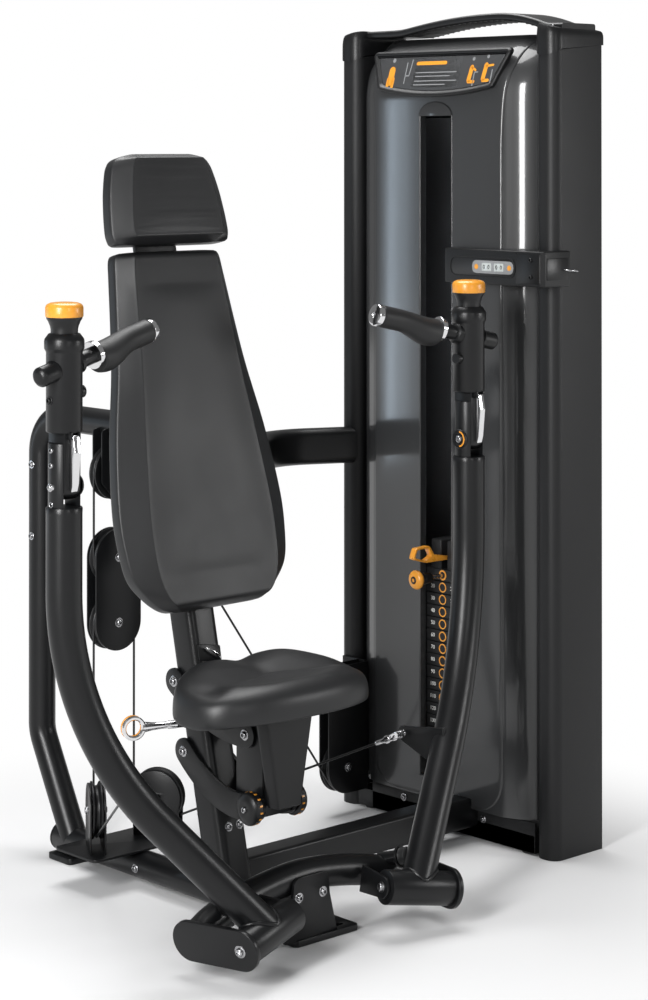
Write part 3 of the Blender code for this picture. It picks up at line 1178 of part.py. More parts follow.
def build_arm_cable():
    """One cable from arm to arm over the floating block's lower pulley."""
    pin = Vector((BASE_DIR.dot(LUG_PIN - BASE), LUG_PIN.z - BASE.z))
    leave = math.degrees(math.atan2(pin.y, pin.x) - math.acos(PITCH_R / pin.length))
    half = wrap(FLOAT_LOW, (1, 0, 0), 90, 0, 6) + wrap(BASE, BASE_DIR, 180, 360 + leave, 8)
    run = (LUG_PIN - half[-1]).normalized()
    fork_start = LUG_PIN - run * (LUG_R + FORK_L)
    half.append(fork_start)
    left = [Vector((-p.x, p.y, p.z)) for p in half[:0:-1]]
    cable = finish("arm_cable", sweep(left + half, circle(CABLE_R, 8), (0, 1, 0)), CABLE)
    ferrule = turned(((-WELD, 0.005), (FORK_L * 0.4, 0.005), (FORK_L * 0.4, 0.0085), (FORK_L - 3 * GAP, 0.0085)), fork_start, run)
    union(cable, mirrored(ferrule), ferrule)


def build_stack_cable():
    """Cable from its dead end under the floating block, over the upper pulley and through the tower to the stack."""
    gap = TOWER_FRONT - UPPER
    flat = Vector((gap.x, gap.z))
    k = 2 * PITCH_R / flat.length
    normal = flat.normalized() * k + Vector((-flat.y, flat.x)).normalized() * math.sqrt(1 - k * k)
    leave = math.degrees(math.atan2(normal.y, normal.x))
    x_dir = (1, 0, 0)
    route = [Vector((PITCH_R, DRIVE_Y, DEAD_END_Z - 0.022))]
    route += wrap(FLOAT_HIGH, x_dir, 0, -180)
    route += wrap(UPPER, x_dir, 180, leave)
    route += wrap(TOWER_FRONT, x_dir, leave + 180, 270, 6)
    route += wrap(TOWER_REAR, x_dir, 270, 360, 6)
    route += wrap(TOP_REAR, TOP_DIR, 180, 90, 6)
    route += wrap(TOP_FRONT, TOP_DIR, 90, 0, 6)
    hood_top = HEAD_Z + PLATE_PITCH + HEAD_BLOCK_H
    route.append(Vector((STACK_MID_X, TOWER_MID, hood_top + 0.024 + GAP)))
    cable = finish("stack_cable", sweep(route, circle(CABLE_R, 8), (0, 1, 0)), CABLE)
    eye = turned(((DEAD_END_Z - 0.026, 0.005), (DEAD_END_Z, 0.005)), (PITCH_R, DRIVE_Y, 0), UP, sides=10)
    socket = turned(((hood_top + GAP, 0.009), (hood_top + 0.026, 0.006)), (STACK_MID_X, TOWER_MID, 0), UP, sides=10)
    union(cable, eye, socket)


build_floor_frame()
build_bow()
build_column()
build_rear_frame()
build_back()
for side_name, side_sign in SIDES:
    build_arm(side_name, side_sign)
    build_post(side_name, side_sign)
build_links("lower_links", LOWER_FRONT, LOWER_REAR, LINK_SAG, True)
build_links("upper_links", UPPER_FRONT, UPPER_REAR, LINK_SAG * 0.6, False)
build_carriage()
build_release()
build_seat_pad()
build_tower_frame()
build_shrouds()
build_stack()
build_addon_lever()
build_counter()
build_pulleys()
build_pulley_brackets()
build_tower_bars()
build_arm_cable()
build_stack_cable()
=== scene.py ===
import math

import bmesh
import bpy
from mathutils import Matrix, Vector


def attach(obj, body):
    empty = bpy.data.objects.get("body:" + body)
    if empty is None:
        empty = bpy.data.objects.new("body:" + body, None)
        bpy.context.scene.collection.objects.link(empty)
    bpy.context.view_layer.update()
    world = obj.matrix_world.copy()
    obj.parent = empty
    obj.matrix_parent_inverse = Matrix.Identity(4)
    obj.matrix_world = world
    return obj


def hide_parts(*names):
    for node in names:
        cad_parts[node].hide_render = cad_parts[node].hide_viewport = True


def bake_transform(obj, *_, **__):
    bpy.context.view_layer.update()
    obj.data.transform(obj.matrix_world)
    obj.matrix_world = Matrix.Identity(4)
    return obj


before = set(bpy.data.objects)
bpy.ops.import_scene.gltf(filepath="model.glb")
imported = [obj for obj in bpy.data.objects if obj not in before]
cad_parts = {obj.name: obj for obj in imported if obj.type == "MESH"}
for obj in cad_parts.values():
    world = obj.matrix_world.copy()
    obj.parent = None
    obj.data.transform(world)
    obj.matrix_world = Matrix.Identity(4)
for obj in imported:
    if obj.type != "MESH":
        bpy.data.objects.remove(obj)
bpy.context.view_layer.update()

up = Vector((0, 0, 1))
alongX, alongY = Vector((1, 0, 0)), Vector((0, 1, 0))
sides = (("right", -1), ("left", 1))
gap = 0.0003


# Shader sockets that take part in sums and products
class Shade:
    def __init__(self, tree, out=None):
        self.tree, self.out = tree, out

    def feed(self, socket, value):
        if isinstance(value, Shade):
            self.tree.links.new(value.out, socket)
        else:
            socket.default_value = value

    def add(self, kind, ins=(), out=0, **settings):
        node = self.tree.nodes.new(kind)
        for key, value in settings.items():
            setattr(node, key, value)
        for key, value in dict(ins).items():
            self.feed(node.inputs[key], value)
        return Shade(self.tree, node.outputs[out])

    def sum(self, operation, *values):
        return self.add("ShaderNodeMath", enumerate(values), operation=operation)

    def __add__(self, other):
        return self.sum("ADD", self, other)

    def __radd__(self, other):
        return self.sum("ADD", other, self)

    def __sub__(self, other):
        return self.sum("SUBTRACT", self, other)

    def __rsub__(self, other):
        return self.sum("SUBTRACT", other, self)

    def __mul__(self, other):
        return self.sum("MULTIPLY", self, other)

    def __rmul__(self, other):
        return self.sum("MULTIPLY", other, self)

    def spread(self, low, high):
        return self.add("ShaderNodeMapRange", {0: self, 1: 0.3, 2: 0.7, 3: low, 4: high})


# One look per finish: colour, gloss, how much both drift, and the relief
looks = {
    "powder_coat": dict(colour=(0.0044, 0.0046, 0.0051), rough=0.33, drift=0.05, tone=0.12, fine=1500,
                        relief=0.05, level=0.31),
    "column_coat": dict(colour=(0.0080, 0.0082, 0.0088), rough=0.48, drift=0.06, tone=0.14, fine=1700,
                        relief=0.14, level=0.28),
    "shroud_plastic": dict(colour=(0.0210, 0.0216, 0.0225), rough=0.46, drift=0.04, tone=0.10, fine=2600,
                           relief=0.04, level=0.30,
                           coat=0.80, gloss=0.11),
    "black_plastic": dict(colour=(0.0056, 0.0058, 0.0063), rough=0.38, drift=0.08, tone=0.14, fine=2200,
                          relief=0.07, level=0.33),
    "zinc": dict(colour=(0.40, 0.40, 0.41), rough=0.27, drift=0.07, tone=0.08, fine=900, relief=0.02, metal=1.0),
    "chrome": dict(colour=(0.74, 0.74, 0.75), rough=0.11, drift=0.06, tone=0.05, fine=700, relief=0.01, metal=1.0),
    "bright_steel": dict(colour=(0.58, 0.58, 0.59), rough=0.24, drift=0.10, tone=0.08, fine=900, relief=0.03, metal=1.0,
                         stretch=(1, 1, 0.03)),
    "cast_iron": dict(colour=(0.0090, 0.0091, 0.0096), rough=0.55, drift=0.10, tone=0.22, fine=900,
                      relief=0.30, level=0.35),
    "rubber": dict(colour=(0.0095, 0.0097, 0.0102), rough=0.50, drift=0.08, tone=0.14, fine=1300,
                   relief=0.16, level=0.34),
    "vinyl": dict(colour=(0.0105, 0.0108, 0.0115), rough=0.42, drift=0.05, tone=0.14, fine=1700, relief=0.10,
                  level=0.40, pebble=620),
    "orange_plastic": dict(colour=(0.66, 0.270, 0.026), rough=0.30, drift=0.06, tone=0.07, fine=1500,
                           relief=0.04, level=0.5),
    "coated_cable": dict(colour=(0.0065, 0.0065, 0.0070), rough=0.34, drift=0.08, tone=0.10, fine=1800,
                         relief=0.06, level=0.45),
    "white_print": dict(colour=(0.72, 0.72, 0.70), rough=0.50, drift=0.05, tone=0.05, fine=1500, relief=0.03),
    "display_glass": dict(colour=(0.42, 0.45, 0.44), rough=0.14, drift=0.03, tone=0.06, fine=900, relief=0.01),
    "panel_print": dict(colour=(0.0480, 0.0490, 0.0510), rough=0.30, drift=0.04, tone=0.06, fine=2400,
                        relief=0.02, level=0.5),
    "liner_grey": dict(colour=(0.30, 0.31, 0.33), rough=0.55, drift=0.06, tone=0.10, fine=900, relief=0.05),
    "field_print": dict(colour=(0.085, 0.087, 0.090), rough=0.32, drift=0.04, tone=0.05, fine=2400, relief=0.01),
    "grey_print": dict(colour=(0.22, 0.225, 0.23), rough=0.30, drift=0.05, tone=0.05, fine=2400, relief=0.02),
}


def makeMaterial(name, look):
    mat = bpy.data.materials.new(name)
    mat.use_nodes = True
    tree = mat.node_tree
    shader = tree.nodes["Principled BSDF"]
    shade = Shade(tree)
    spot = shade.add("ShaderNodeTexCoord", out="Object")
    if "stretch" in look:
        spot = shade.add("ShaderNodeMapping", {"Vector": spot, "Scale": look["stretch"]})
    broad = shade.add("ShaderNodeTexNoise", {"Vector": spot, "Scale": 6.0, "Detail": 4.0, "Roughness": 0.6})
    scuff = shade.add("ShaderNodeTexNoise", {"Vector": spot, "Scale": 85.0, "Detail": 5.0, "Roughness": 0.65})
    fine = shade.add("ShaderNodeTexNoise", {"Vector": spot, "Scale": look["fine"], "Detail": 2.0})
    mixed = broad * 0.62 + scuff * 0.38
    base, tone = look["colour"], look["tone"]
    dark = tuple(c * (1 - tone) for c in base) + (1,)
    light = tuple(min(1.0, c * (1 + tone)) for c in base) + (1,)
    colour = shade.add("ShaderNodeMix", {0: mixed.spread(0.0, 1.0), 6: dark, 7: light}, out=2, data_type="RGBA")
    height = fine
    if "pebble" in look:
        cells = shade.add("ShaderNodeTexVoronoi", {"Vector": spot, "Scale": look["pebble"], "Smoothness": 0.35},
                          feature="SMOOTH_F1")
        height = fine * 0.35 + (1.0 - cells) * 0.9
    normal = shade.add("ShaderNodeBump", {"Height": height, "Strength": look["relief"], "Distance": 0.0010})
    shade.feed(shader.inputs["Base Color"], colour)
    shade.feed(shader.inputs["Roughness"], mixed.spread(look["rough"] - look["drift"], look["rough"] + look["drift"]))
    shade.feed(shader.inputs["Normal"], normal)
    shader.inputs["Metallic"].default_value = look.get("metal", 0.0)
    shader.inputs["Specular IOR Level"].default_value = look.get("level", 0.5)
    shader.inputs["Coat Weight"].default_value = look.get("coat", 0.0)
    shader.inputs["Coat Roughness"].default_value = look.get("gloss", 0.2)
    return mat


mats = {name: makeMaterial(name, look) for name, look in looks.items()}
print("materials", len(mats))


# Mesh tools
def loft(rings, closed=False):
    bm = bmesh.new()
    rows = [[bm.verts.new(point) for point in ring] for ring in rings]
    count = len(rows[0])
    for low, high in zip(rows, rows[1:] + (rows[:1] if closed else [])):
        for i in range(count):
            bm.faces.new((low[i], low[(i + 1) % count], high[(i + 1) % count], high[i]))
    if not closed:
        bm.faces.new(rows[0])
        bm.faces.new(rows[-1])
    return bm


def soften(bm, width, segments=2, angle=32):
    bmesh.ops.recalc_face_normals(bm, faces=bm.faces)
    edges = [e for e in bm.edges if len(e.link_faces) == 2 and e.calc_face_angle(0) > math.radians(angle)]
    bmesh.ops.bevel(bm, geom=edges, offset=width, segments=segments, profile=0.5, affect="EDGES",
                    clamp_overlap=True, material=-1)
    return bm


def block(low, high, ease=0.0012, segments=2):
    bm = bmesh.new()
    bmesh.ops.create_cube(bm, size=1.0)
    low, high = Vector(low), Vector(high)
    bmesh.ops.scale(bm, verts=bm.verts, vec=high - low)
    bmesh.ops.translate(bm, verts=bm.verts, vec=(low + high) / 2)
    return soften(bm, ease, segments) if ease else bm


def mirrored(bm):
    bmesh.ops.scale(bm, verts=bm.verts, vec=(-1, 1, 1))
    bmesh.ops.reverse_faces(bm, faces=bm.faces)
    return bm


def flip(bm, sign):
    return bm if sign > 0 else mirrored(bm)


def join(*meshes):
    whole = bmesh.new()
    for bm in meshes:
        part = bpy.data.meshes.new("part")
        bm.to_mesh(part)
        bm.free()
        whole.from_mesh(part)
        bpy.data.meshes.remove(part)
    return whole


def both(bm):
    twin = bm.copy()
    return join(bm, mirrored(twin))


def circle(radius, count=40):
    step = 2 * math.pi / count
    return [(radius * math.cos(i * step), radius * math.sin(i * step)) for i in range(count)]


def arc(centre, radius, start, end, steps):
    points = []
    for i in range(steps + 1):
        angle = math.radians(start + (end - start) * i / steps)
        points.append((centre[0] + radius * math.cos(angle), centre[1] + radius * math.sin(angle)))
    return points


def roundedBox(width, height, corner, steps=7):
    halfW, halfH = width / 2 - corner, height / 2 - corner
    points = []
    for k, (x, y) in enumerate(((halfW, halfH), (-halfW, halfH), (-halfW, -halfH), (halfW, -halfH))):
        points += arc((x, y), corner, 90 * k, 90 * k + 90, steps)
    return points


def roundPoly(corners, radius, steps=6):
    # A closed flat outline with every corner rounded
    corners = [Vector(c).to_2d() for c in corners]
    points = []
    for i, here in enumerate(corners):
        into = (here - corners[i - 1])
        out = (corners[(i + 1) % len(corners)] - here)
        turn = into.angle_signed(out)
        reach = min(abs(radius * math.tan(turn / 2)), into.length * 0.48, out.length * 0.48)
        start, end = here - into.normalized() * reach, here + out.normalized() * reach
        for k in range(steps + 1):
            t = k / steps
            points.append(tuple(start * (1 - t) ** 2 + here * 2 * t * (1 - t) + end * t * t))
    return points


def roundRect(x0, x1, y0, y1, radius, steps=6):
    return roundPoly([(x0, y0), (x1, y0), (x1, y1), (x0, y1)], radius, steps)


def inset(corners, width):
    # Move every side of a flat outline inwards by a width
    area = sum(a[0] * b[1] - b[0] * a[1] for a, b in zip(corners, corners[1:] + corners[:1]))
    sign = 1 if area > 0 else -1
    moved = []
    for i, here in enumerate(corners):
        here = Vector(here)
        into = (here - Vector(corners[i - 1])).normalized()
        out = (Vector(corners[(i + 1) % len(corners)]) - here).normalized()
        sideIn, sideOut = Vector((-into.y, into.x)) * sign, Vector((-out.y, out.x)) * sign
        middle = (sideIn + sideOut).normalized()
        moved.append(tuple(here + middle * width / max(0.3, middle.dot(sideIn))))
    return moved


def bend(corners, radius, steps=14):
    corners = [Vector(c) for c in corners]
    path = [corners[0]]
    for before, here, after in zip(corners, corners[1:], corners[2:]):
        into, out = (here - before).normalized(), (after - here).normalized()
        turn = into.angle(out)
        start = here - into * radius * math.tan(turn / 2)
        axis = into.cross(out).normalized()
        middle = start + axis.cross(into) * radius
        for i in range(steps + 1):
            path.append(middle + Matrix.Rotation(turn * i / steps, 3, axis) @ (start - middle))
    path.append(corners[-1])
    return path


def sweep(path, section, side, ends=(None, None), scale=None):
    path = [Vector(p) for p in path]
    rings = []
    side = Vector(side)
    for i, point in enumerate(path):
        ahead = path[min(i + 1, len(path) - 1)] - point
        behind = point - path[max(i - 1, 0)]
        tangent = (ahead.normalized() + behind.normalized()).normalized()
        side = (side - tangent * side.dot(tangent)).normalized()
        other = tangent.cross(side)
        grow = scale[i] if scale else 1.0
        rings.append([point + side * a * grow + other * b * grow for a, b in section])
        plane = ends[0] if i == 0 else ends[1] if i == len(path) - 1 else None
        if plane:
            spot, normal = Vector(plane[0]), Vector(plane[1])
            rings[-1] = [p + tangent * ((spot - p).dot(normal) / tangent.dot(normal)) for p in rings[-1]]
    return loft(rings)


def axesOf(axis, lead=up):
    axis = Vector(axis).normalized()
    lead = Vector(lead)
    if abs(axis.dot(lead)) > 0.99:
        lead = alongX
    first = (lead - axis * lead.dot(axis)).normalized()
    return axis, first, axis.cross(first)


def turned(profile, centre, axis, lead=up, count=40, hexFrom=None):
    # Turn (along, radius) pairs; rings from hexFrom on are six-sided
    axis, first, second = axesOf(axis, lead)
    rings = []
    for k, (along, radius) in enumerate(profile):
        spot = Vector(centre) + axis * along
        points = circle(max(radius, 1e-6), count)
        if hexFrom is not None and k >= hexFrom:
            points = []
            for i in range(count):
                angle = 2 * math.pi * i / count
                flat = radius * math.cos(math.pi / 6) / math.cos(angle % (math.pi / 3) - math.pi / 6)
                points.append((flat * math.cos(angle), flat * math.sin(angle)))
        rings.append([spot + first * a + second * b for a, b in points])
    return loft(rings)


def rod(start, end, radius, count=40, ease=0.0010):
    start, end = Vector(start), Vector(end)
    length = (end - start).length
    ease = min(ease, length * 0.3, radius * 0.5)
    profile = ((0, radius - ease), (ease * 0.3, radius - ease * 0.3), (ease, radius),
               (length - ease, radius), (length - ease * 0.3, radius - ease * 0.3), (length, radius - ease))
    return turned(profile, start, end - start, count=count)


def ring(start, end, outer, inner, count=40, ease=0.0006):
    start, end = Vector(start), Vector(end)
    axis, first, second = axesOf(end - start)
    length = (end - start).length
    loops = []
    for along, radius in ((ease, inner), (0, inner + ease), (0, outer - ease), (ease, outer), (length - ease, outer),
                          (length, outer - ease), (length, inner + ease), (length - ease, inner)):
        loops.append([start + axis * along + first * a + second * b for a, b in circle(radius, count)])
    return loft(loops, closed=True)


def plate(outline, origin, u, v, thickness, ease=0.0010, segments=2):
    origin, u, v = Vector(origin), Vector(u), Vector(v)
    rise = u.cross(v).normalized() * thickness
    flat = [origin + u * a + v * b for a, b in outline]
    bm = loft([flat, [p + rise for p in flat]])
    return soften(bm, ease, segments, 50) if ease else bm


def castRays(outline, centre, count):
    # Points of an outline met by evenly turned rays from a centre
    points = []
    for i in range(count):
        angle = 2 * math.pi * i / count
        ray = Vector((math.cos(angle), math.sin(angle)))
        best = None
        for a, b in zip(outline, outline[1:] + outline[:1]):
            a, b = Vector(a) - Vector(centre), Vector(b) - Vector(centre)
            edge = b - a
            cross = ray.x * edge.y - ray.y * edge.x
            if abs(cross) < 1e-12:
                continue
            far = (a.x * edge.y - a.y * edge.x) / cross
            part = (a.x * ray.y - a.y * ray.x) / cross
            if far > 0 and -1e-6 <= part <= 1 + 1e-6 and (best is None or far < best):
                best = far
        points.append((centre[0] + ray.x * best, centre[1] + ray.y * best))
    return points


def pierced(outline, hole, origin, u, v, thickness, count=96):
    # A flat plate with one opening through it
    middle = (sum(p[0] for p in hole) / len(hole), sum(p[1] for p in hole) / len(hole))
    outer, inner = castRays(outline, middle, count), castRays(hole, middle, count)
    origin, u, v = Vector(origin), Vector(u), Vector(v)
    rise = u.cross(v).normalized() * thickness
    put = lambda points, lift: [origin + u * a + v * b + rise * lift for a, b in points]
    return loft([put(inner, 0), put(outer, 0), put(outer, 1), put(inner, 1)], closed=True)


def capsule(a, b, radiusA, radiusB, steps=14):
    heading = math.degrees(math.atan2(b[1] - a[1], b[0] - a[0]))
    return arc(b, radiusB, heading - 90, heading + 90, steps) + arc(a, radiusA, heading + 90, heading + 270, steps)


def curveAt(pairs, value):
    # Smooth interpolation in a short list of (position, size) pairs
    value = min(max(value, pairs[0][0]), pairs[-1][0])
    for i in range(len(pairs) - 1):
        (x0, y0), (x1, y1) = pairs[i], pairs[i + 1]
        if value <= x1:
            before, after = pairs[max(i - 1, 0)], pairs[min(i + 2, len(pairs) - 1)]
            span = x1 - x0
            m0 = (y1 - before[1]) / max(1e-9, x1 - before[0]) * span
            m1 = (after[1] - y0) / max(1e-9, after[0] - x0) * span
            t = (value - x0) / span
            return (y0 * (2 * t ** 3 - 3 * t * t + 1) + m0 * (t ** 3 - 2 * t * t + t)
                    + y1 * (3 * t * t - 2 * t ** 3) + m1 * (t ** 3 - t * t))
    return pairs[-1][1]


def smoothLine(points, count):
    # Evenly stepped points on a smooth curve through given points
    points = [Vector(p) for p in points]
    line = []
    for k in range(count + 1):
        spot = k / count * (len(points) - 1)
        i = min(int(spot), len(points) - 2)
        t = spot - i
        p0, p1 = points[max(i - 1, 0)], points[i]
        p2, p3 = points[i + 1], points[min(i + 2, len(points) - 1)]
        line.append(0.5 * (2 * p1 + (p2 - p0) * t + (2 * p0 - 5 * p1 + 4 * p2 - p3) * t * t
                           + (3 * p1 - p0 - 3 * p2 + p3) * t ** 3))
    return line


def gridSheet(cols, rows, front, back, keep):
    # Two faced grids, with cells left out and every rim closed
    bm = bmesh.new()
    near = [[bm.verts.new(front(c, r)) for c in cols] for r in rows]
    far = [[bm.verts.new(back(c, r)) for c in cols] for r in rows]
    kept = {(i, j) for i in range(len(cols) - 1) for j in range(len(rows) - 1)
            if keep((cols[i] + cols[i + 1]) / 2, (rows[j] + rows[j + 1]) / 2)}
    for i, j in kept:
        corners = ((i, j), (i + 1, j), (i + 1, j + 1), (i, j + 1))
        bm.faces.new([near[b][a] for a, b in corners])
        bm.faces.new([far[b][a] for a, b in reversed(corners)])
        beside = ((i, j - 1), (i + 1, j), (i, j + 1), (i - 1, j))
        for k, cell in enumerate(beside):
            if cell not in kept:
                (a0, b0), (a1, b1) = corners[k], corners[(k + 1) % 4]
                bm.faces.new((near[b1][a1], near[b0][a0], far[b0][a0], far[b1][a1]))
    bmesh.ops.delete(bm, geom=[v for v in bm.verts if not v.link_faces], context="VERTS")
    return bm


def knots(low, high, steps, *extra):
    values = [low + (high - low) * i / steps for i in range(steps + 1)]
    for value in extra:
        values = [v for v in values if abs(v - value) > (high - low) / steps * 0.3 or v in (low, high)]
        values.append(value)
    return sorted(values)


def bolt(spot, out, radius=0.0085, washer=True):
    # Button-head screw with a six-sided socket
    radius *= 0.86
    lift = 0.0014 if washer else 0.0
    profile = [(0, radius * 1.5), (lift * 0.7, radius * 1.5), (lift, radius * 1.42)] if washer else []
    profile += [(lift, radius), (lift + radius * 0.42, radius), (lift + radius * 0.62, radius * 0.90),
                (lift + radius * 0.72, radius * 0.74), (lift + radius * 0.72, radius * 0.56),
                (lift + radius * 0.04, radius * 0.53)]
    return turned(profile, spot, out, count=24, hexFrom=len(profile) - 2)


def piece(name, bm, mat, body="frame", stands=(), crease=36):
    bmesh.ops.remove_doubles(bm, verts=bm.verts, dist=1e-6)
    bmesh.ops.recalc_face_normals(bm, faces=bm.faces)
    mesh = bpy.data.meshes.new(name)
    bm.to_mesh(mesh)
    bm.free()
    mesh.materials.append(mats[mat])
    mesh.shade_smooth()
    mesh.set_sharp_from_angle(angle=math.radians(crease))
    obj = bpy.data.objects.new(name, mesh)
    bpy.context.scene.collection.objects.link(obj)
    if body:
        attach(obj, body)
    if stands:
        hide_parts(*stands)
    return obj


# Camera, lamps, floor
view = dict(place=(-3.252, -3.589, 1.583), tilt=90.44, pan=-42.767, lens=58.34, shift=-0.3767)
lens = bpy.data.cameras.new("camera")
lens.sensor_fit = "VERTICAL"
lens.sensor_height = 24
lens.lens = view["lens"]
lens.shift_y = view["shift"]
camera = bpy.data.objects.new("camera", lens)
camera.location = view["place"]
camera.rotation_euler = (math.radians(view["tilt"]), 0, math.radians(view["pan"]))
bpy.context.scene.collection.objects.link(camera)
bpy.context.scene.camera = camera
bpy.context.scene.view_settings.view_transform = "Standard"

lamps = {
    "leftSoft": dict(place=(-3.4, -1.0, 2.0), size=(0.7, 2.2), power=185, tint=(1, 1, 1)),
    "frontSoft": dict(place=(-1.2, -3.7, 1.9), size=(0.8, 1.4), power=18, tint=(1, 1, 1)),
    "rightSoft": dict(place=(2.4, -2.6, 1.45), size=(0.9, 0.9), power=32, tint=(1, 1, 1)),
    "overhead": dict(place=(0.6, 1.0, 3.8), size=(2.2, 2.2), power=140, tint=(1, 1, 1)),
    "towerStrip": dict(place=(-1.6, 2.95, 1.15), size=(0.035, 1.5), power=5, tint=(0.72, 0.86, 1.0)),
}
for name, lamp in lamps.items():
    light = bpy.data.lights.new(name, "AREA")
    light.shape = "RECTANGLE"
    light.size, light.size_y = lamp["size"]
    light.energy, light.color = lamp["power"], lamp["tint"]
    lampObj = bpy.data.objects.new(name, light)
    lampObj.location = lamp["place"]
    aim = Vector((0.25, 0.25, 0.85)) - Vector(lamp["place"])
    lampObj.rotation_euler = aim.to_track_quat("-Z", "Y").to_euler()
    bpy.context.scene.collection.objects.link(lampObj)

world = bpy.data.worlds.new("studio")
world.use_nodes = True
bpy.context.scene.world = world
worldShade = Shade(world.node_tree)


# Rays that show the white backdrop without lighting the machine
def backdropRays(shade, mirror):
    path = shade.tree.nodes.new("ShaderNodeLightPath")
    seen, glass, glossy = (Shade(shade.tree, path.outputs[f"Is {kind} Ray"])
                           for kind in ("Camera", "Transmission", "Glossy"))
    return shade.sum("MINIMUM", seen + glass + glossy * mirror, 1.0)


studio = dict(ambient=0.12, mirror=0.12, floorMirror=1.0)
strength = backdropRays(worldShade, studio["mirror"])
sky = world.node_tree.nodes["Background"]
sky.inputs["Color"].default_value = (1, 1, 1, 1)
worldShade.feed(sky.inputs["Strength"], strength * (1 - studio["ambient"]) + studio["ambient"])

floorSet = dict(half=14.0, near=0.55, far=1.35, shade=0.74)
floorMesh = bmesh.new()
bmesh.ops.create_grid(floorMesh, x_segments=8, y_segments=8, size=floorSet["half"])
bmesh.ops.translate(floorMesh, verts=floorMesh.verts, vec=(0, 0, -0.0006))
floorData = bpy.data.meshes.new("studioFloor")
floorMesh.to_mesh(floorData)
floorMesh.free()
floorMat = bpy.data.materials.new("studioFloor")
floorMat.use_nodes = True
tree = floorMat.node_tree
shade = Shade(tree)
spot = shade.add("ShaderNodeTexCoord", out="Object")
reach = shade.add("ShaderNodeVectorMath", {0: spot, 1: (0.22, 0.30, 0.0)}, out="Value", operation="DISTANCE")
fade = shade.add("ShaderNodeMapRange", {0: reach, 1: floorSet["near"], 2: floorSet["far"], 3: 0.0, 4: 1.0},
                 interpolation_type="SMOOTHSTEP")
grain = shade.add("ShaderNodeTexNoise", {"Vector": spot, "Scale": 40.0, "Detail": 3.0})
shader = tree.nodes["Principled BSDF"]
pale = floorSet["shade"]
tint = shade.add("ShaderNodeMix", {0: grain, 6: (pale * 0.99, pale * 0.99, pale, 1), 7: (pale, pale, pale, 1)}, out=2,
                 data_type="RGBA")
shade.feed(shader.inputs["Base Color"], tint)
shader.inputs["Roughness"].default_value = 0.55
glow = tree.nodes.new("ShaderNodeEmission")
glow.inputs["Color"].default_value = (1, 1, 1, 1)
blend = tree.nodes.new("ShaderNodeMixShader")
shade.feed(blend.inputs[0], fade * backdropRays(shade, studio["floorMirror"]))
tree.links.new(shader.outputs[0], blend.inputs[1])
tree.links.new(glow.outputs[0], blend.inputs[2])
tree.links.new(blend.outputs[0], tree.nodes["Material Output"].inputs["Surface"])
floorData.materials.append(floorMat)
floorObj = bpy.data.objects.new("studioFloor", floorData)
bpy.context.scene.collection.objects.link(floorObj)
print("studio ready")


# Base: runner tube, feet, clamp plates, cross beam
base = dict(footT=0.0127, front=(-0.045, 0.126, -0.042, 0.046), rear=(-0.042, 0.042, 0.700, 0.784), radius=0.030,
            endY=0.790, runnerZ=0.0407, bowR=0.031, bowY=0.002, bowTop=0.125, plateT=0.008, plateW=0.115, beamY=0.262,
            beamW=0.060, beamLow=0.030, beamH=0.066)
runnerZ = base["runnerZ"]
bowFront, bowRear = base["bowY"] - base["bowR"] - gap, base["bowY"] + base["bowR"] + gap
tube = rod((0, bowFront - 0.002, runnerZ), (0, base["endY"] - 0.004, runnerZ), base["radius"], 56, 0.0008)
piece("runnerTube", tube, "powder_coat", stands=("base_runner",))
endCap = turned(((0, 0.0303), (0.0030, 0.0303), (0.0040, 0.0292), (0.0044, 0.024), (0.0044, 0.0)),
                (0, base["endY"] - 0.0044, runnerZ), alongY, count=56)
piece("runnerEndCap", endCap, "black_plastic")
footPlates = []
for x0, x1, y0, y1 in (base["front"], base["rear"]):
    outline = roundRect(x0, x1, y0, y1, 0.012, 8)
    wide = x1 - x0 > 0.1
    centre = (x1 - 0.030, (y0 + y1) / 2 - 0.018) if wide else (x1 - 0.020, y1 - 0.020)
    slotEnd = (centre[0] - 0.014, centre[1]) if wide else centre
    hole = capsule(slotEnd, centre, 0.0065, 0.0065) if wide else circle(0.0065, 32)
    hole = hole if wide else [(centre[0] + a, centre[1] + b) for a, b in hole]
    footPlates.append(soften(pierced(outline, hole, (0, 0, 0), alongX, alongY, base["footT"]), 0.0012, 2, 55))
piece("footPlates", join(*footPlates), "powder_coat")
half, top = base["plateW"] / 2, base["bowTop"] + 0.010
frontOutline = [(-half - 0.012, 0.0107), (half + 0.012, 0.0107), (half - 0.008, 0.090)]
frontOutline += arc((half - 0.030, top - 0.020), 0.020, 20, 90, 8)
frontOutline += arc((-half + 0.030, top - 0.020), 0.020, 90, 160, 8)
frontOutline.append((-half + 0.008, 0.090))
lowOutline = roundPoly([(-half - 0.012, 0.0107), (half + 0.012, 0.0107), (half - 0.008, 0.088),
                        (-half + 0.008, 0.088)], 0.006)
clamps = join(plate(frontOutline, (0, bowFront, 0), alongX, up, base["plateT"]),
              plate(lowOutline, (0, bowRear + base["plateT"], 0), alongX, up, base["plateT"]))
piece("bowClamps", clamps, "powder_coat")
beamMid = base["beamLow"] + base["beamH"] / 2
beam = sweep([(0.0378, base["beamY"], beamMid), (0.7567, base["beamY"], beamMid)],
             roundedBox(base["beamW"], base["beamH"], 0.008), alongY)
piece("crossBeam", beam, "powder_coat", stands=("cross_beam",))
beamFoot = Vector((0.0395, base["beamY"], beamMid))
beadPath = [beamFoot + Vector((0, a, b)) for a, b in roundedBox(base["beamW"], base["beamH"], 0.008)]
bead = [[p + alongX * c + (p - beamFoot).normalized() * s for p in beadPath] for c, s in circle(0.003, 8)]
piece("beamWeld", loft(bead, closed=True), "powder_coat")

